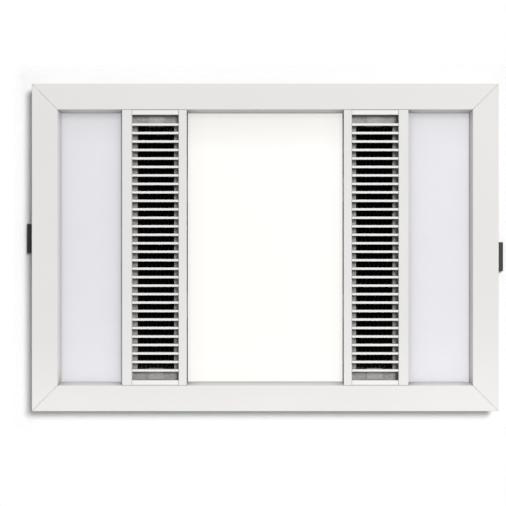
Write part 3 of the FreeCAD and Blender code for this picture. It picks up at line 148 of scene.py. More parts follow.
def colour(name, description, *screen):
    """Colour property whose default is a screen colour in steps of 255."""
    tint = Color([step / 255 for step in screen]).from_srgb_to_scene_linear()
    return FloatVectorProperty(
        name=name, description=description, subtype="COLOR", min=0.0, max=1.0, default=tuple(tint)
    )


def length(name, description, default, least=0.0):
    """Length property in metres."""
    return FloatProperty(
        name=name, description=description, unit="LENGTH", min=least, precision=5, default=default
    )


def angle(name, description, degrees):
    """Angle property."""
    return FloatProperty(
        name=name, description=description, subtype="ANGLE", default=math.radians(degrees)
    )


def power(name, description, watts):
    """Lamp power property."""
    return FloatProperty(name=name, description=description, unit="POWER", min=0.0, default=watts)


def level(name, description, default):
    """Property for a strength of light."""
    return FloatProperty(name=name, description=description, min=0.0, default=default)


class HeaterColours(PropertyGroup):
    """Colours of the heater's finishes"""

    coat: colour("Coat", "White powder coat of the frame and rails", 236, 234, 233)
    louvre: colour("Grille", "Satin white moulding of the grilles", 242, 241, 239)
    panel: colour("Side panel", "Cool white of the side panels", 234, 233, 238)
    opal: colour("Opal", "Centre panel with its lamps off", 150, 150, 149)
    lamp: colour("Lamp light", "Light of the centre panel", 255, 253, 249)
    zinc: colour("Galvanised", "Galvanised sheet of the housing", 172, 175, 179)
    aluminised: colour("Heater sheet", "Aluminised sheet round the heaters", 151, 149, 148)
    clip: colour("Heater clip", "Plated clips at the elements' ends", 159, 157, 155)
    bright: colour("Plated steel", "Zinc-plated fasteners and clips", 200, 199, 195)
    cast: colour("Cast metal", "Keys in the frame's hollows", 172, 173, 175)
    element: colour("Heating element", "Black anodised fins", 5, 5, 5)
    sheath: colour("Heating rod", "Heat-tinted sheath", 112, 98, 88)
    straw: colour("Heat tint", "Straw tint on the heating rods", 150, 122, 92)
    ceramic: colour("Ceramic", "Rod insulators", 128, 120, 108)
    tray: colour("Lamp tray", "White coated pan over the lamps", 243, 243, 241)
    board: colour("Lamp board", "White mask of the lamp boards", 240, 241, 238)
    phosphor: colour("Phosphor", "Yellow face of a lamp", 236, 205, 92)
    black: colour("Black moulding", "Spigot, terminals and cut-outs", 34, 34, 36)
    grey: colour("Grey moulding", "Boxes, impeller and flap", 176, 178, 180)
    nylon: colour("Nylon", "Toggles, gland and receivers", 24, 24, 25)
    rubber: colour("Rubber", "Motor grommets", 30, 30, 31)
    enamel: colour("Motor enamel", "Dark coat of the motor can", 62, 65, 69)
    iron: colour("Iron", "Lamination stack of the motor", 70, 66, 62)
    copper: colour("Winding", "Copper of the motor's windings", 176, 98, 56)
    bronze: colour("Bronze", "Sintered bushes", 171, 136, 84)
    backdrop: colour("Backdrop", "White board behind the fascia", 255, 255, 255)
    floor: colour("Floor", "Pale floor below the heater", 236, 236, 236)


class HeaterSizes(PropertyGroup):
    """Sizes of the heater's fine detail"""

    frame_edge: length("Frame edge", "Rounding of the frame's and rails' edges", 0.3 * MM)
    slat_edge: length("Slat edge", "Rounding of the grille's slats", 0.6 * MM)
    panel_edge: length("Panel edge", "Rounding of the panels' edges", 0.3 * MM)
    moulding_edge: length("Moulding edge", "Rounding of the boxes' edges", 0.8 * MM)
    nylon_edge: length("Toggle edge", "Rounding of the toggles' edges", 0.5 * MM)
    recess_width: length("Recess width", "Width of a screw's cross recess", 1.0 * MM)
    recess_length: length("Recess length", "Length of a screw's cross recess", 4.2 * MM)
    recess_depth: length("Recess depth", "Depth of a screw's cross recess", 1.4 * MM)
    thread_pitch: length("Thread pitch", "Distance between two turns of a screw's thread", 1.2 * MM)
    chip_width: length("Lamp width", "Width of a lamp on its board", 2.8 * MM)
    chip_length: length("Lamp length", "Length of a lamp on its board", 3.5 * MM)
    chip_height: length("Lamp height", "Height of a lamp on its board", 0.8 * MM)
    chip_draft: length("Lamp draft", "Narrowing of a lamp's case on each side", 0.1 * MM)
    chip_pitch: length("Lamp pitch", "Distance between two lamps", 13.5 * MM)
    grip_height: length("Grip height", "Height of a rib on the gland's nut", 0.6 * MM)
    grip_width: length("Grip width", "Width of a rib on the gland's nut", 1.4 * MM)
    grip_root: length("Grip root", "Depth of a rib's foot in the gland's nut", 0.1 * MM)
    grip_count: IntProperty(
        name="Grip count", description="Ribs round the gland's nut", min=4, default=20
    )
    flap_rib: length("Flap rib", "Width of a hoop on the damper's flap", 1.6 * MM)
    flap_rib_height: length("Flap rib height", "Height of a hoop on the damper's flap", 0.6 * MM)


class HeaterStage(PropertyGroup):
    """Camera, lamps and backdrop"""

    camera_distance: length("Camera distance", "Camera to the fascia's face", 2.0)
    picture_width: length("Picture width", "Width of the picture at the fascia's face", 0.6501)
    aim_x: length("Aim along", "Middle of the picture along X", -0.0157, least=-1.0)
    aim_y: length("Aim across", "Middle of the picture along Y", 0.0071, least=-1.0)
    key_power: power("Key lamp", "Power of the lamp below", 600.0)
    key_size: length("Key size", "Width of the lamp below", 2.4)
    key_distance: length("Key distance", "Lamp below to the fascia", 8.0)
    key_right: angle("Key to the right", "Lamp below, towards +X", 14.5)
    key_rear: angle("Key to the rear", "Lamp below, towards -Y", 13.6)
    strip_power: power("Strip lamp", "Power of the strip lamp along the front", 0.1)
    strip_length: length("Strip length", "Length of the strip lamp", 1.2)
    strip_width: length("Strip width", "Width of the strip lamp", 0.1)
    strip_drop: length("Strip drop", "Strip lamp below the fascia's face", 0.1)
    strip_reach: length("Strip reach", "Strip lamp past the fascia's front edge", 0.02)
    panel_glow: level("Panel glow", "Strength of the centre panel's light", 0.67)
    sky: level("Sky", "Strength of the even light from all round", 0.14)
    roof_power: power("Roof lamp", "Power of the lamp above", 8.0)
    side_power: power("Side lamps", "Power of each lamp beside the housing", 18.0)
    side_size: length("Side lamp size", "Width of the lamps above and beside", 1.2)
    side_distance: length("Side lamp distance", "Lamps above and beside to the housing", 2.2)
    side_height: angle("Side lamp height", "Side lamps above the ceiling", 25.0)
    board_gap: length("Backdrop gap", "Backdrop above the toggles", 1.5 * MM)
    board_margin: length("Backdrop margin", "Backdrop past the fascia, before it fades", 0.014)
    board_fade: length("Backdrop fade", "Width over which the backdrop fades", 0.016)
    floor_drop: length("Floor drop", "Floor below the fascia's face", 0.06)
    floor_margin: length("Floor margin", "Floor past the fascia, before it fades", 0.35)
    floor_fade: length("Floor fade", "Width over which the floor fades", 0.5)


class Finish:
    """Node tree of one material: a Principled shader and the textures that feed it, in metres."""

    def __init__(self, tint, roughness, metallic=0.0, specular=0.5):
        self.material = bpy.data.materials.new("finish")
        self.material.use_nodes = True
        self.nodes = self.material.node_tree.nodes
        self.links = self.material.node_tree.links
        self.shader = self.nodes["Principled BSDF"]
        self.tint = tuple(tint)
        self.roughness = roughness
        self.spot = self.nodes.new("ShaderNodeTexCoord").outputs["Object"]
        self.fix("Base Color", (*self.tint, 1.0))
        self.fix("Roughness", roughness)
        self.fix("Metallic", metallic)
        self.fix("Specular IOR Level", specular)

    def fix(self, socket, value):
        """Give one of the shader's own sockets a constant."""
        self.shader.inputs[socket].default_value = value

    def feed(self, socket, output):
        """Let a texture drive one of the shader's sockets."""
        self.links.new(output, self.shader.inputs[socket])

    def noise(self, grain, detail=2.0, stretch=(1.0, 1.0, 1.0)):
        """Cloudy texture with lumps about one grain wide, drawn out where its stretch is small."""
        mapping = self.nodes.new("ShaderNodeMapping")
        mapping.inputs["Scale"].default_value = stretch
        self.links.new(self.spot, mapping.inputs["Vector"])
        node = self.nodes.new("ShaderNodeTexNoise")
        node.inputs["Scale"].default_value = 1.0 / grain
        node.inputs["Detail"].default_value = detail
        self.links.new(mapping.outputs["Vector"], node.inputs["Vector"])
        return node.outputs["Fac"]

    def cells(self, grain):
        """Flat cells about one grain wide, each with a value of its own."""
        node = self.nodes.new("ShaderNodeTexVoronoi")
        node.inputs["Scale"].default_value = 1.0 / grain
        self.links.new(self.spot, node.inputs["Vector"])
        split = self.nodes.new("ShaderNodeSeparateColor")
        self.links.new(node.outputs["Color"], split.inputs["Color"])
        return split.outputs["Red"]

    def axis(self, name):
        """One coordinate of the spot on the surface."""
        split = self.nodes.new("ShaderNodeSeparateXYZ")
        self.links.new(self.spot, split.inputs["Vector"])
        return split.outputs[name]

    def compute(self, operation, *terms):
        """Arithmetic on outputs and numbers."""
        node = self.nodes.new("ShaderNodeMath")
        node.operation = operation
        for socket, term in zip(node.inputs, terms):
            if isinstance(term, (int, float)):
                socket.default_value = term
            else:
                self.links.new(term, socket)
        return node.outputs["Value"]

    def spread(self, source, low, high, start=0.0, stop=1.0):
        """Map a texture's range onto two values."""
        node = self.nodes.new("ShaderNodeMapRange")
        limits = {"From Min": start, "From Max": stop, "To Min": low, "To Max": high}
        for socket, value in limits.items():
            node.inputs[socket].default_value = value
        self.links.new(source, node.inputs["Value"])
        return node.outputs["Result"]

    def blend(self, source, first, second, start=0.25, stop=0.75):
        """Let a texture run the colour from a first to a second."""
        ramp = self.nodes.new("ShaderNodeValToRGB")
        for knot, at, tint in zip(ramp.color_ramp.elements, (start, stop), (first, second)):
            knot.position = at
            knot.color = (*tint, 1.0)
        self.links.new(source, ramp.inputs["Fac"])
        self.feed("Base Color", ramp.outputs["Color"])

    def shaded(self, strength):
        """The finish's colour, made lighter or darker."""
        return tuple(min(1.0, channel * strength) for channel in self.tint)

    def shade(self, source, low, high, start=0.25, stop=0.75):
        """Let a texture shade the colour between two strengths."""
        self.blend(source, self.shaded(low), self.shaded(high), start, stop)

    def dim(self, share):
        """Scale the colour's strength by a share."""
        darker = self.nodes.new("ShaderNodeHueSaturation")
        self.links.new(self.shader.inputs["Base Color"].links[0].from_socket, darker.inputs["Color"])
        self.links.new(share, darker.inputs["Value"])
        self.feed("Base Color", darker.outputs["Color"])

    def recess(self, reach, darkest):
        """Paint shade into the colour, down to a darkest strength, in corners that are closed in within
        a reach.
        """
        corner = self.nodes.new("ShaderNodeAmbientOcclusion")
        corner.samples = 8
        corner.inputs["Distance"].default_value = reach
        self.dim(self.spread(corner.outputs["AO"], low=darkest, high=1.0, start=0.7))

    def fall_off(self, inset, *stretches):
        """Share that climbs to 1 away from an edge, from a strength at the edge over each stretch."""
        share = 1.0
        for strength, reach in stretches:
            rise = self.spread(inset, low=strength, high=1.0, stop=reach)
            share = self.compute("MULTIPLY", share, rise)
        return share

    def vary_roughness(self, source, by):
        """Let a texture lower and raise the roughness by an amount."""
        self.feed("Roughness", self.spread(source, self.roughness - by, self.roughness + by))

    def relief(self, source, height, strength):
        """Let a texture raise the surface by up to a height."""
        node = self.nodes.new("ShaderNodeBump")
        node.inputs["Distance"].default_value = height
        node.inputs["Strength"].default_value = strength
        self.links.new(source, node.inputs["Height"])
        self.feed("Normal", node.outputs["Normal"])


def powder_coat(tint, peel, corner):
    """Satin powder coat: orange peel of a given grain, a faint random drift of tone and painted shade in
    its corners.
    """
    coat = Finish(tint, roughness=0.6, specular=0.25)
    coat.shade(coat.noise(grain=120 * MM), low=0.985, high=1.015)
    # Painted shade: the colour darkens in corners and recesses, down to the corner strength
    coat.recess(reach=20 * MM, darkest=corner)
    coat.vary_roughness(coat.noise(grain=4 * MM), by=0.06)
    coat.relief(coat.noise(peel, detail=3.0), height=0.03 * MM, strength=0.35)
    return coat


def satin_moulding(tint, grain, roughness):
    """Moulded plastic with a fine grain."""
    moulding = Finish(tint, roughness, specular=0.3)
    moulding.shade(moulding.noise(grain=30 * MM), low=0.97, high=1.03)
    moulding.vary_roughness(moulding.noise(grain=3 * MM), by=0.06)
    moulding.relief(moulding.noise(grain, detail=4.0), height=0.04 * MM, strength=0.5)
    return moulding


def satin_white(tint, grain, rear_shade=()):
    """Satin white moulding with painted shade in its corners and, where asked, a painted shadow under
    the frame's rear lip.
    """
    white = Finish(tint, roughness=0.55, specular=0.35)
    white.shade(white.noise(grain=50 * MM), low=0.99, high=1.01)
    # Painted shade: the colour darkens in corners and recesses
    white.recess(reach=30 * MM, darkest=0.68)
    # Painted shadow of the frame's rear lip, falling off from the lip across the panel
    if rear_shade:
        from_lip = white.compute("SUBTRACT", white.axis("Y"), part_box("frame_rear")[1].y)
        white.dim(white.fall_off(from_lip, *rear_shade))
    white.vary_roughness(white.noise(grain=3 * MM), by=0.05)
    white.relief(white.noise(grain, detail=3.0), height=0.02 * MM, strength=0.3)
    return white


def coated_sheet(tint, roughness, spangle):
    """Metal-coated sheet: crystal spangle, a dull bloom and faint rolling lines."""
    sheet = Finish(tint, roughness, metallic=0.7)
    sheet.fix("Specular Tint", (0.4, 0.41, 0.42, 1.0))
    crystals = sheet.compute("MULTIPLY", sheet.cells(spangle), 0.5)
    bloom = sheet.compute("MULTIPLY", sheet.noise(spangle * 5, detail=4.0), 0.5)
    sheet.shade(sheet.compute("ADD", crystals, bloom), low=0.9, high=1.08)
    sheet.vary_roughness(sheet.cells(spangle * 0.8), by=0.05)
    rolling = sheet.noise(grain=1.2 * MM, stretch=(0.05, 1.0, 1.0))
    sheet.relief(rolling, height=0.02 * MM, strength=0.3)
    return sheet


def plain_metal(tint, roughness):
    """Plated or cast metal with a slightly uneven surface."""
    metal = Finish(tint, roughness, metallic=1.0)
    metal.shade(metal.noise(grain=6 * MM), low=0.88, high=1.06)
    metal.vary_roughness(metal.noise(grain=1.5 * MM), by=0.1)
    metal.relief(metal.noise(grain=0.5 * MM), height=0.01 * MM, strength=0.4)
    return metal


def lit_opal(tint, light, glow):
    """Opal panel lit from behind: even in the middle, with painted shade that dims its glow to its edges
    and to dark at its seats.
    """
    opal = Finish(tint, roughness=0.5, specular=0.35)
    low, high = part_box("light_diffuser")
    across = opal.axis("X")
    along = opal.axis("Y")
    edges = (
        (along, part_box("frame_rear")[1].y, LAMP_REAR_SHADE),
        (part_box("frame_front")[0].y, along, LAMP_FRONT_SHADE),
        (across, low.x, LAMP_SIDE_SHADE),
        (high.x, across, LAMP_SIDE_SHADE),
    )
    # Painted shade: the glow is dimmed towards each edge, most under the frame's rear lip
    strength = glow
    for far, near, shade in edges:
        share = opal.fall_off(opal.compute("SUBTRACT", far, near), *shade)
        strength = opal.compute("MULTIPLY", strength, share)
    opal.fix("Emission Color", (*light, 1.0))
    opal.feed("Emission Strength", strength)
    opal.relief(opal.noise(grain=0.8 * MM), height=0.01 * MM, strength=0.3)
    return opal


def anodised_black(tint):
    """Matt black anodised metal with fine drawing lines along its length."""
    black = Finish(tint, roughness=0.7, specular=0.05)
    black.shade(black.noise(grain=20 * MM), low=0.7, high=1.25)
    black.vary_roughness(black.noise(grain=2 * MM), by=0.08)
    lines = black.noise(grain=0.8 * MM, stretch=(1.0, 0.04, 1.0))
    black.relief(lines, height=0.02 * MM, strength=0.5)
    return black


def wound_iron(iron, copper):
    """Stator: a dark lamination stack with copper windings above and below it."""
    stator = Finish(copper, roughness=0.45, metallic=0.9)
    low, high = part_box("motor_stator")
    height = stator.spread(stator.axis("Z"), low=-1.0, high=1.0, start=low.z, stop=high.z)
    stator.blend(stator.compute("ABSOLUTE", height), iron, copper, start=0.58, stop=0.6)
    turns = stator.noise(grain=0.6 * MM, stretch=(1.0, 1.0, 3.0))
    stator.relief(turns, height=0.05 * MM, strength=0.6)
    return stator


def heat_tinted(tint, straw):
    """Metal sheath with heat colours along its length."""
    sheath = Finish(tint, roughness=0.38, metallic=1.0)
    heat = sheath.noise(grain=40 * MM, detail=3.0, stretch=(1.0, 0.5, 1.0))
    sheath.blend(heat, sheath.shaded(0.7), straw)
    sheath.relief(sheath.noise(grain=0.7 * MM), height=0.02 * MM, strength=0.4)
    return sheath


def unglazed(tint):
    """Unglazed ceramic, slightly speckled."""
    clay = Finish(tint, roughness=0.8)
    clay.shade(clay.noise(grain=1.0 * MM, detail=4.0), low=0.9, high=1.02)
    clay.relief(clay.noise(grain=0.5 * MM), height=0.03 * MM, strength=0.5)
    return clay


def printed_board(tint):
    """White solder mask with faint copper tracks under it."""
    board = Finish(tint, roughness=0.35)
    width = 4 * MM
    ripple = board.compute("PINGPONG", board.axis("X"), width)
    track = board.spread(ripple, low=0.0, high=1.0, stop=width)
    board.shade(track, low=1.0, high=0.9, start=0.45, stop=0.55)
    board.relief(track, height=0.05 * MM, strength=0.3)
    return board


def finish_for(slot):
    """Material of one of the heater's finishes, made when it is first asked for."""
    name = "finish_" + slot
    if name in bpy.data.materials:
        return bpy.data.materials[name]
    tints = bpy.context.scene.heater_colours
    glow = bpy.context.scene.heater_stage.panel_glow
    makers = {
        # corner is the darkest strength of each coat's painted corner shade; the rails' copy of the coat
        # has lighter painted shade
        "white_coated_aluminium": partial(powder_coat, tints.coat, peel=1.6 * MM, corner=0.36),
        "white_coated_rail": partial(powder_coat, tints.coat, peel=1.6 * MM, corner=0.85),
        "white_coated_steel": partial(powder_coat, tints.tray, peel=2.0 * MM, corner=0.6),
        "motor_steel": partial(powder_coat, tints.enamel, peel=1.2 * MM, corner=0.6),
        "white_moulding": partial(satin_white, tints.louvre, grain=0.5 * MM),
        "pale_panel": partial(satin_white, tints.panel, grain=0.7 * MM, rear_shade=PANEL_REAR_SHADE),
        "opal_diffuser": partial(lit_opal, tints.opal, tints.lamp, glow),
        "galvanised_steel": partial(coated_sheet, tints.zinc, roughness=0.5, spangle=11 * MM),
        "aluminised_steel": partial(coated_sheet, tints.aluminised, roughness=0.7, spangle=3 * MM),
        "element_clip_steel": partial(coated_sheet, tints.clip, roughness=0.7, spangle=2 * MM),
        "bright_steel": partial(plain_metal, tints.bright, roughness=0.32),
        "die_cast": partial(plain_metal, tints.cast, roughness=0.52),
        "bronze": partial(plain_metal, tints.bronze, roughness=0.42),
        "black_element": partial(anodised_black, tints.element),
        "heater_sheath": partial(heat_tinted, tints.sheath, tints.straw),
        "ceramic": partial(unglazed, tints.ceramic),
        "circuit_board": partial(printed_board, tints.board),
        "lamp_phosphor": partial(satin_moulding, tints.phosphor, grain=0.3 * MM, roughness=0.3),
        "black_plastic": partial(satin_moulding, tints.black, grain=0.6 * MM, roughness=0.45),
        "grey_plastic": partial(satin_moulding, tints.grey, grain=0.6 * MM, roughness=0.48),
        "black_nylon": partial(satin_moulding, tints.nylon, grain=0.4 * MM, roughness=0.52),
        "black_rubber": partial(satin_moulding, tints.rubber, grain=0.8 * MM, roughness=0.72),
        "motor_iron": partial(wound_iron, tints.iron, tints.copper),
    }
    made = makers[slot]().material
    made.name = name
    return made


def coat_nodes(*nodes, slot=None):
    """Give CAD nodes one finish, or the finish that the record names for each."""
    for node in nodes:
        for holder in frame["nodes"][node].material_slots:
            holder.material = finish_for(slot or SLOT_OF[node])


def ease_edges(width, *nodes):
    """Round the sharp edges of CAD nodes, once their flat faces are whole again."""
    for node in nodes:
        piece = frame["nodes"][node]
        corners = piece.modifiers.new("join_corners", "WELD")
        corners.merge_threshold = WELD
        flats = piece.modifiers.new("join_flats", "DECIMATE")
        flats.decimate_type = "DISSOLVE"
        flats.angle_limit = FLAT_ANGLE
        edges = piece.modifiers.new("ease_edges", "BEVEL")
        edges.width = width
        edges.segments = 2
        edges.limit_method = "ANGLE"
        edges.angle_limit = SHARP_ANGLE
        piece.modifiers.new("even_normals", "WEIGHTED_NORMAL")


def extent(points):
    """Lowest and highest corner of a list of points."""
    return [Vector([pick(point[axis] for point in points) for axis in range(3)]) for pick in (min, max)]


def span(*nodes):
    """Lowest and highest corner of several CAD nodes together."""
    return extent([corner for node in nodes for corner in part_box(node)])


def housing_centre():
    """Middle of the housing's sheet metal."""
    low, high = span(*SHEETS)
    return (low + high) / 2


def solids_of(node):
    """Corner points of each separate solid in a CAD node."""
    bm = bmesh.new()
    bm.from_mesh(frame["nodes"][node].data)
    bmesh.ops.remove_doubles(bm, verts=bm.verts, dist=WELD)
    solids = []
    for vert in bm.verts:
        vert.tag = False
    for first in bm.verts:
        if first.tag:
            continue
        first.tag = True
        reached = [first]
        for corner in reached:
            for edge in corner.link_edges:
                near = edge.other_vert(corner)
                if not near.tag:
                    near.tag = True
                    reached.append(near)
        solids.append([corner.co.copy() for corner in reached])
    bm.free()
    return solids


def add_object(name, data):
    """New object in the scene."""
    made = bpy.data.objects.new(name, data)
    bpy.context.scene.collection.objects.link(made)
    return made


def object_from(name, bm):
    """Object from a filled bmesh, which is used up."""
    bmesh.ops.recalc_face_normals(bm, faces=bm.faces)
    mesh = bpy.data.meshes.new(name)
    bm.to_mesh(mesh)
    bm.free()
    return add_object(name, mesh)


def add_piece(name, bm, slot, body):
    """New piece from a filled bmesh, in one finish, that rides on a body."""
    piece = object_from(name, bm)
    piece.data.shade_smooth()
    piece.data.set_sharp_from_angle(angle=SHARP_ANGLE)
    piece.data.materials.append(finish_for(slot))
    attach(piece, body)
    return piece


def bridge(bm, first, second):
    """Faces between two closed rings, either of which may be a single corner."""
    sides = max(len(first), len(second))
    for n in range(sides):
        m = (n + 1) % sides
        corners = [first[n % len(first)], first[m % len(first)]]
        corners += [second[m % len(second)], second[n % len(second)]]
        bm.faces.new(list(dict.fromkeys(corners)))


def turned(bm, profile, sides, matrix):
    """Turn a profile of radius and height pairs, which starts and ends on the axis, about +Z."""
    rings = []
    for radius, height in profile:
        ring = []
        for n in range(sides if radius > WELD else 1):
            turn = math.tau * n / sides
            spot = Vector((radius * math.cos(turn), radius * math.sin(turn), height))
            ring.append(bm.verts.new(matrix @ spot))
        rings.append(ring)
    for lower, upper in zip(rings, rings[1:]):
        bridge(bm, lower, upper)


def dome(rim, crown):
    """Quarter-ellipse stretch of a profile, upright at its rim and level at its crown."""
    points = []
    for n in range(DOME_STEPS + 1):
        turn = math.pi / 2 * n / DOME_STEPS
        radius = crown[0] + (rim[0] - crown[0]) * math.cos(turn)
        height = rim[1] + (crown[1] - rim[1]) * math.sin(turn)
        points.append((radius, height))
    return points


def half_round(bm, path, across, outwards, width, height, closed=False):
    """Half-round rib along a path of points; across and outwards give its section at each point."""
    turns = [math.pi * n / RIB_STEPS for n in range(RIB_STEPS + 1)]
    section = [(width / 2 * math.cos(turn), height * math.sin(turn)) for turn in turns]
    rings = []
    for point, side, up in zip(path, across, outwards):
        rings.append([bm.verts.new(point + side * u + up * v) for u, v in section])
    pairs = list(zip(rings, rings[1:]))
    if closed:
        pairs.append((rings[-1], rings[0]))
    else:
        bm.faces.new(rings[0])
        bm.faces.new(list(reversed(rings[-1])))
    for first, second in pairs:
        bridge(bm, first, second)


def rectangle(half_x, half_y, z):
    """Corners of a level rectangle about the Z axis, in order."""
    return [(-half_x, -half_y, z), (half_x, -half_y, z), (half_x, half_y, z), (-half_x, half_y, z)]


def frustum(bm, foot, half_x, half_y, height, draft):
    """Small block that hangs down from its foot and narrows by a draft on each side."""
    rings = []
    for drop, inset in ((0.0, 0.0), (height, draft)):
        corners = rectangle(half_x - inset, half_y - inset, -drop)
        rings.append([bm.verts.new(foot + Vector(corner)) for corner in corners])
    bridge(bm, *rings)
    bm.faces.new(rings[0])
    bm.faces.new(rings[1])


class Fastener:
    """Axis, heads and shank of a screw or rivet, measured on its plain solid."""

    def __init__(self, points):
        low, high = extent(points)
        size = high - low
        # Its axis is the one with equal widths across it
        self.along = min(range(3), key=lambda axis: abs(size[axis - 1] - size[axis - 2]))
        self.centre = (low + high) / 2
        self.low = low[self.along]
        self.high = high[self.along]
        radii = [self.off_axis(point) for point in points]
        self.head_radius = max(radii)
        self.shank_radius = min(radius for radius in radii if radius > OFF_AXIS * self.head_radius)
        rim = NEAR_RIM * self.head_radius
        on_rim = [point[self.along] for point, radius in zip(points, radii) if radius > rim]
        self.levels = sorted(set(round(height, LEVEL_DIGITS) for height in on_rim))

    def off_axis(self, point):
        """Distance of a point from the fastener's axis."""
        offset = point - self.centre
        offset[self.along] = 0.0
        return offset.length

    def matrix(self, at, direction, turn):
        """Place for a part made about +Z: its origin at a height on the axis, +Z along a direction."""
        foot = self.centre.copy()
        foot[self.along] = at
        aim = Vector((0.0, 0.0, 0.0))
        aim[self.along] = direction
        facing = aim.to_track_quat("Z", "Y").to_matrix().to_4x4()
        return Matrix.Translation(foot) @ facing @ Matrix.Rotation(turn, 4, "Z")


def cut_away(body, tools):
    """Mesh of one object with the volumes of others cut out, free of slivers; all are used up."""
    for tool in tools:
        cut = body.modifiers.new("cut", "BOOLEAN")
        cut.object = tool
        cut.operation = "DIFFERENCE"
        cut.solver = "EXACT"
    shown = body.evaluated_get(bpy.context.evaluated_depsgraph_get())
    mesh = bpy.data.meshes.new_from_object(shown)
    for used in (body, *tools):
        bpy.data.objects.remove(used)
    bm = bmesh.new()
    bm.from_mesh(mesh)
    bmesh.ops.remove_doubles(bm, verts=bm.verts, dist=SLIVER)
    bmesh.ops.dissolve_degenerate(bm, edges=bm.edges, dist=SLIVER)
    bm.to_mesh(mesh)
    bm.free()
    return mesh


def screw_mesh(screw, sizes):
    """Domed, cross-recessed screw with a threaded shank: seat at the origin, head along +Z."""
    head = screw.levels[-1] - screw.levels[0]
    shank = screw.high - screw.low - head
    pitch = sizes.thread_pitch
    root = screw.shank_radius * THREAD_ROOT
    profile = [(0.0, -shank), (screw.shank_radius * SCREW_TIP, -shank)]
    for n in range(int(shank / pitch), 0, -1):
        profile.append((root, -pitch * (n - ROOT_PLACE)))
        profile.append((screw.shank_radius, -pitch * (n - CREST_PLACE)))
    profile += [(root, 0.0), (screw.head_radius, 0.0)]
    profile += dome((screw.head_radius, head * SCREW_RIM), (0.0, head))
    bm = bmesh.new()
    turned(bm, profile, SCREW_SIDES, Matrix.Identity(4))
    body = object_from("screw_blank", bm)
    over = sizes.recess_depth * RECESS_OVERSHOOT
    top = Vector((0, 0, head + over))
    wing = sizes.recess_length / 2
    slot = sizes.recess_width / 2
    tools = []
    for half_x, half_y in ((wing, slot), (slot, wing)):
        bm = bmesh.new()
        frustum(bm, top, half_x, half_y, sizes.recess_depth + over, slot * RECESS_TAPER)
        tools.append(object_from("screw_recess", bm))
    return cut_away(body, tools)


def rivet_profile(rivet):
    """Blind rivet: the set head behind, the shank, and a domed head with the mandrel's dimple."""
    radius = rivet.head_radius
    grip = rivet.levels[2] - rivet.levels[1]
    height = rivet.levels[1] - rivet.levels[0]
    set_radius = radius * SET_HEAD_RADIUS
    profile = dome((set_radius, -grip - height * SET_HEAD_RIM), (0.0, -grip - height))
    profile.reverse()
    profile += [(set_radius, -grip), (rivet.shank_radius, -grip)]
    profile += [(rivet.shank_radius, 0.0), (radius, 0.0)]
    profile += dome((radius, height * RIVET_RIM), (radius * DIMPLE_MOUTH, height))
    dimple_floor = height * DIMPLE_FLOOR
    return profile + [(radius * DIMPLE_END, dimple_floor), (0.0, dimple_floor)]


def add_screws(sizes):
    """Domed, cross-recessed screws in the place of the housing's plain ones."""
    screws = [Fastener(points) for points in solids_of("housing_screws")]
    blank = screw_mesh(screws[0], sizes)
    bm = bmesh.new()
    for n, screw in enumerate(screws):
        head_low = screw.levels[0]
        head_high = screw.levels[-1]
        upright = screw.high - head_high < head_low - screw.low
        seat, direction = (head_low, 1.0) if upright else (head_high, -1.0)
        copy = blank.copy()
        copy.transform(screw.matrix(seat, direction, GOLDEN_TURN * n))
        bm.from_mesh(copy)
        bpy.data.meshes.remove(copy)
    bpy.data.meshes.remove(blank)
    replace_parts(add_piece("housing_screw_set", bm, "bright_steel", "housing"), "housing_screws")


def add_rivets():
    """Domed blind rivets in the place of the housing's plain ones."""
    middle = housing_centre()
    bm = bmesh.new()
    for points in solids_of("housing_rivets"):
        rivet = Fastener(points)
        outwards = rivet.centre[rivet.along] > middle[rivet.along]
        seat, direction = (rivet.levels[2], 1.0) if outwards else (rivet.levels[1], -1.0)
        turned(bm, rivet_profile(rivet), RIVET_SIDES, rivet.matrix(seat, direction, 0.0))
    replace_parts(add_piece("housing_rivet_set", bm, "bright_steel", "housing"), "housing_rivets")


def add_lamp_chips(sizes):
    """Row of lamps under each lamp board: white cases, each with a yellow face."""
    rim = sizes.chip_width * LAMP_FACE_RADIUS
    profile = [(0.0, 0.0), *dome((rim, 0.0), (0.0, sizes.chip_height * LAMP_FACE_HEIGHT))]
    half_x = sizes.chip_width / 2
    half_y = sizes.chip_length / 2
    cases = bmesh.new()
    faces = bmesh.new()
    for points in solids_of("led_boards"):
        low, high = extent(points)
        lamps = int((high.y - low.y) / sizes.chip_pitch)
        start = (low.y + high.y - (lamps - 1) * sizes.chip_pitch) / 2
        for n in range(lamps):
            foot = Vector(((low.x + high.x) / 2, start + n * sizes.chip_pitch, low.z))
            frustum(cases, foot, half_x, half_y, sizes.chip_height, sizes.chip_draft)
            face = Matrix.Translation(foot - Vector((0, 0, sizes.chip_height)))
            turned(faces, profile, LAMP_FACE_SIDES, face @ Matrix.Rotation(math.pi, 4, "X"))
    add_piece("lamp_cases", cases, "circuit_board", "housing")
    add_piece("lamp_faces", faces, "lamp_phosphor", "housing")


def add_gland_grip(sizes):
    """Ribs round the gland's clamping nut."""
    low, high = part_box("cable_gland")
    centre = (low + high) / 2
    rims = []
    for point in frame["nodes"]["cable_gland"].data.vertices:
        rims.append((point.co.x, math.hypot(point.co.y - centre.y, point.co.z - centre.z)))
    widest = max(radius for _, radius in rims)
    collar = min(x for x, radius in rims if radius > widest - WELD)
    nut_radius = max(radius for x, radius in rims if x < collar - WELD)
    outer = min(x for x, radius in rims if radius > nut_radius - WELD)
    bm = bmesh.new()
    for n in range(sizes.grip_count):
        turn = math.tau * n / sizes.grip_count
        up = Vector((0, math.cos(turn), math.sin(turn)))
        side = Vector((0, -math.sin(turn), math.cos(turn)))
        foot = up * (nut_radius - sizes.grip_root)
        path = [Vector((x, centre.y, centre.z)) + foot for x in (outer, collar)]
        half_round(bm, path, [side] * 2, [up] * 2, sizes.grip_width, sizes.grip_height)
    add_piece("gland_grip", bm, "black_nylon", "housing")


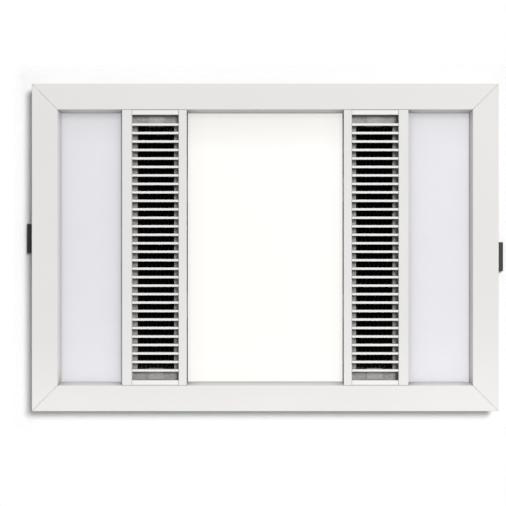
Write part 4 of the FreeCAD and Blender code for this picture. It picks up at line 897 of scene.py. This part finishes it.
def add_flap_ribs(sizes):
    """Two moulded hoops on the damper's outer face, below its hinge."""
    points = [point.co for point in frame["nodes"]["damper_flap"].data.vertices]
    low, high = extent(points)
    radius = (high.x - low.x) / 2
    centre = Vector(((low.x + high.x) / 2, 0.0, low.z + radius))
    centre.y = min(point.y for point in points if point.z < centre.z)
    turns = [math.tau * n / HOOP_SIDES for n in range(HOOP_SIDES)]
    across = [Vector((math.cos(turn), 0, math.sin(turn))) for turn in turns]
    outwards = [Vector((0, -1, 0))] * len(turns)
    bm = bmesh.new()
    for share in HOOP_RADII:
        path = [centre + side * (share * radius) for side in across]
        half_round(bm, path, across, outwards, sizes.flap_rib, sizes.flap_rib_height, closed=True)
    add_piece("flap_ribs", bm, "grey_plastic", "damper")


class HEATER_OT_fascia(Operator):
    """Coat the frame, rails and grilles, and round their edges"""

    bl_idname = "heater.fascia"
    bl_label = "Frame and grilles"

    def execute(self, context):
        sizes = context.scene.heater_sizes
        coat_nodes(*FRAME, *LOUVRES)
        # The rails take the frame's coat with lighter painted shade in their corners
        coat_nodes(*RAILS, slot="white_coated_rail")
        ease_edges(sizes.frame_edge, *FRAME, *RAILS)
        ease_edges(sizes.slat_edge, *LOUVRES)
        return {"FINISHED"}


class HEATER_OT_panels(Operator):
    """Finish the lit centre panel and the two side panels"""

    bl_idname = "heater.panels"
    bl_label = "Panels"

    def execute(self, context):
        coat_nodes(*PANELS)
        ease_edges(context.scene.heater_sizes.panel_edge, *PANELS)
        return {"FINISHED"}


class HEATER_OT_fixings(Operator):
    """Finish the keys, screws, clips and studs behind the fascia"""

    bl_idname = "heater.fixings"
    bl_label = "Fascia fixings"

    def execute(self, context):
        coat_nodes(*FIXINGS)
        return {"FINISHED"}


class HEATER_OT_housing(Operator):
    """Finish the housing's sheet metal"""

    bl_idname = "heater.housing"
    bl_label = "Housing"

    def execute(self, context):
        coat_nodes(*SHEETS)
        return {"FINISHED"}


class HEATER_OT_heaters(Operator):
    """Finish the heater trays, shields, elements and their fittings"""

    bl_idname = "heater.heaters"
    bl_label = "Heaters"

    def execute(self, context):
        coat_nodes(*(f"{piece}_{end}" for piece in HEATERS for end in ENDS), *HEATER_FITTINGS)
        coat_nodes("element_clips", slot="element_clip_steel")
        return {"FINISHED"}


class HEATER_OT_lamp(Operator):
    """Finish the lamp tray, boards and driver, and set the lamps on the boards"""

    bl_idname = "heater.lamp"
    bl_label = "Lamp"

    def execute(self, context):
        sizes = context.scene.heater_sizes
        coat_nodes(*LAMP)
        ease_edges(sizes.moulding_edge, "led_driver")
        add_lamp_chips(sizes)
        return {"FINISHED"}


class HEATER_OT_fan(Operator):
    """Finish the blower, its motor and its capacitor"""

    bl_idname = "heater.fan"
    bl_label = "Fan"

    def execute(self, context):
        coat_nodes(*BLOWER, *MOTOR)
        ease_edges(context.scene.heater_sizes.moulding_edge, "capacitor")
        return {"FINISHED"}


class HEATER_OT_duct(Operator):
    """Finish the duct spigot and its flap, and rib the flap"""

    bl_idname = "heater.duct"
    bl_label = "Duct outlet"

    def execute(self, context):
        coat_nodes(*DUCT)
        add_flap_ribs(context.scene.heater_sizes)
        return {"FINISHED"}


class HEATER_OT_supply(Operator):
    """Finish the terminal box, its cover and the cable gland, and rib the gland's nut"""

    bl_idname = "heater.supply"
    bl_label = "Supply terminals"

    def execute(self, context):
        sizes = context.scene.heater_sizes
        coat_nodes(*SUPPLY)
        ease_edges(sizes.moulding_edge, "terminal_box", "terminal_cover")
        add_gland_grip(sizes)
        return {"FINISHED"}


class HEATER_OT_toggles(Operator):
    """Finish the ceiling toggles, their brackets and the hinge pins"""

    bl_idname = "heater.toggles"
    bl_label = "Ceiling toggles"

    def execute(self, context):
        coat_nodes(*TOGGLES, *TOGGLE_FITTINGS)
        ease_edges(context.scene.heater_sizes.nylon_edge, *TOGGLES)
        return {"FINISHED"}


class HEATER_OT_fasteners(Operator):
    """Set domed screws and rivets in the housing"""

    bl_idname = "heater.fasteners"
    bl_label = "Screws and rivets"

    def execute(self, context):
        add_screws(context.scene.heater_sizes)
        add_rivets()
        return {"FINISHED"}


def add_camera(stage):
    """Camera straight below the fascia, with the housing's rear at the top of the picture."""
    low, _ = span(*FRAME)
    data = bpy.data.cameras.new("camera")
    data.lens = data.sensor_width * stage.camera_distance / stage.picture_width
    camera = add_object("camera", data)
    camera.location = (stage.aim_x, stage.aim_y, low.z - stage.camera_distance)
    camera.rotation_euler = (math.pi, 0.0, 0.0)
    bpy.context.scene.camera = camera


def add_lamp(name, spot, aim, watts, size, width=None):
    """Soft lamp that looks at a point, square unless it has a width of its own."""
    data = bpy.data.lights.new(name, "AREA")
    data.energy = watts
    data.shape = "RECTANGLE"
    data.size = size
    data.size_y = width or size
    lamp = add_object(name, data)
    lamp.location = spot
    lamp.rotation_euler = (aim - spot).to_track_quat("-Z", "Y").to_euler()
    lamp.visible_camera = False


def add_lamps(stage):
    """Key and strip lamps below the fascia, one lamp above the roof and four beside the housing."""
    centre = housing_centre()
    low, high = span(*FRAME)
    face = Vector((0.0, 0.0, low.z))
    below = Vector((math.tan(stage.key_right), -math.tan(stage.key_rear), -1.0)) * stage.key_distance
    add_lamp("key_lamp", face + below, face, stage.key_power, stage.key_size)
    front = Vector((0.0, high.y + stage.strip_reach, low.z))
    spot = front - Vector((0, 0, stage.strip_drop))
    add_lamp("strip_lamp", spot, front, stage.strip_power, stage.strip_length, stage.strip_width)
    above = centre + Vector((0, 0, stage.side_distance))
    add_lamp("roof_lamp", above, centre, stage.roof_power, stage.side_size)
    reach = math.cos(stage.side_height)
    for n in range(SIDE_LAMPS):
        turn = math.tau * (n + 0.5) / SIDE_LAMPS
        out = Vector((math.cos(turn) * reach, math.sin(turn) * reach, math.sin(stage.side_height)))
        spot = centre + out * stage.side_distance
        add_lamp(f"side_lamp_{n}", spot, centre, stage.side_power, stage.side_size)


def set_sky(strength):
    """White to the eye and in reflections, and an even dim light on everything else."""
    world = bpy.data.worlds.new("sky")
    world.use_nodes = True
    bpy.context.scene.world = world
    nodes = world.node_tree.nodes
    links = world.node_tree.links
    dim = nodes["Background"]
    white = nodes.new("ShaderNodeBackground")
    for background, brightness in ((dim, strength), (white, 1.0)):
        background.inputs["Color"].default_value = (1.0, 1.0, 1.0, 1.0)
        background.inputs["Strength"].default_value = brightness
    rays = nodes.new("ShaderNodeLightPath")
    seen = rays.outputs["Is Camera Ray"]
    for kind in ("Is Glossy Ray", "Is Transmission Ray"):
        either = nodes.new("ShaderNodeMath")
        either.operation = "MAXIMUM"
        links.new(seen, either.inputs[0])
        links.new(rays.outputs[kind], either.inputs[1])
        seen = either.outputs["Value"]
    mix = nodes.new("ShaderNodeMixShader")
    links.new(seen, mix.inputs["Fac"])
    links.new(dim.outputs["Background"], mix.inputs[1])
    links.new(white.outputs["Background"], mix.inputs[2])
    links.new(mix.outputs["Shader"], nodes["World Output"].inputs["Surface"])


def fading_matt(tint, half_x, half_y, fade):
    """Matt sheet that shows from its front alone and fades out over the last stretch to its edge."""
    matt = Finish(tint, roughness=0.9)
    matt.shade(matt.noise(grain=200 * MM), low=0.995, high=1.0)
    past = []
    for axis, half in (("X", half_x), ("Y", half_y)):
        over = matt.compute("SUBTRACT", matt.compute("ABSOLUTE", matt.axis(axis)), half - fade)
        past.append(matt.compute("POWER", matt.compute("MAXIMUM", over, 0.0), 2.0))
    reach = matt.compute("SQRT", matt.compute("ADD", *past))
    whole = matt.spread(reach, low=1.0, high=0.0, stop=fade)
    behind = matt.nodes.new("ShaderNodeNewGeometry").outputs["Backfacing"]
    shown = matt.compute("MULTIPLY", whole, matt.compute("SUBTRACT", 1.0, behind))
    clear = matt.nodes.new("ShaderNodeBsdfTransparent")
    mix = matt.nodes.new("ShaderNodeMixShader")
    matt.links.new(shown, mix.inputs["Fac"])
    matt.links.new(clear.outputs["BSDF"], mix.inputs[1])
    matt.links.new(matt.shader.outputs["BSDF"], mix.inputs[2])
    matt.links.new(mix.outputs["Shader"], matt.nodes["Material Output"].inputs["Surface"])
    return matt


def add_sheet(name, tint, margin, fade, z, hole=None):
    """Level sheet that reaches past the fascia, may have a hole, and shows to the camera alone."""
    _, edge = span(*FRAME)
    half_x = edge.x + margin + fade
    half_y = edge.y + margin + fade
    corners = rectangle(half_x, half_y, z)
    faces = [(0, 1, 2, 3)]
    if hole is not None:
        corners = rectangle(hole.x, hole.y, z) + corners
        faces = [(n, (n + 1) % 4, (n + 1) % 4 + 4, n + 4) for n in range(4)]
    material = fading_matt(tint, half_x, half_y, fade).material
    material.name = name + "_matt"
    mesh = bpy.data.meshes.new(name)
    mesh.from_pydata(corners, [], faces)
    mesh.materials.append(material)
    sheet = add_object(name, mesh)
    for ray in ("diffuse", "glossy", "transmission", "shadow"):
        setattr(sheet, f"visible_{ray}", False)


class HEATER_OT_stage(Operator):
    """Set the camera, the lamps, the backdrop and the floor"""

    bl_idname = "heater.stage"
    bl_label = "Stage"

    def execute(self, context):
        stage = context.scene.heater_stage
        tints = context.scene.heater_colours
        add_camera(stage)
        add_lamps(stage)
        set_sky(stage.sky)
        height = span(*TOGGLES)[1].z + stage.board_gap
        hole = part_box("roof")[1]
        add_sheet("backdrop", tints.backdrop, stage.board_margin, stage.board_fade, height, hole)
        height = span(*FRAME)[0].z - stage.floor_drop
        add_sheet("floor", tints.floor, stage.floor_margin, stage.floor_fade, height)
        context.scene.view_settings.view_transform = "Standard"
        return {"FINISHED"}


STEPS = (
    HEATER_OT_fascia,
    HEATER_OT_panels,
    HEATER_OT_fixings,
    HEATER_OT_housing,
    HEATER_OT_heaters,
    HEATER_OT_lamp,
    HEATER_OT_fan,
    HEATER_OT_duct,
    HEATER_OT_supply,
    HEATER_OT_toggles,
    HEATER_OT_fasteners,
    HEATER_OT_stage,
)
SETTINGS = {"heater_colours": HeaterColours, "heater_sizes": HeaterSizes, "heater_stage": HeaterStage}


class HEATER_PT_steps(Panel):
    """Lists the heater's steps and settings"""

    bl_idname = "HEATER_PT_steps"
    bl_label = "Ceiling heater"
    bl_space_type = "VIEW_3D"
    bl_region_type = "UI"
    bl_category = "Heater"

    def draw(self, context):
        for step in STEPS:
            self.layout.operator(step.bl_idname)
        for name, group in SETTINGS.items():
            box = self.layout.box()
            for setting in group.__annotations__:
                box.prop(getattr(context.scene, name), setting)


CLASSES = (*SETTINGS.values(), *STEPS, HEATER_PT_steps)


def register():
    """Make the classes and settings known."""
    for each in CLASSES:
        bpy.utils.register_class(each)
    for name, group in SETTINGS.items():
        setattr(bpy.types.Scene, name, PointerProperty(type=group))


def unregister():
    """Take the classes and settings away."""
    for name in SETTINGS:
        delattr(bpy.types.Scene, name)
    for each in reversed(CLASSES):
        bpy.utils.unregister_class(each)


def main():
    """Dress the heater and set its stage."""
    register()
    for step in STEPS:
        group, name = step.bl_idname.split(".")
        getattr(getattr(bpy.ops, group), name)()


if __name__ == "__main__":
    main()
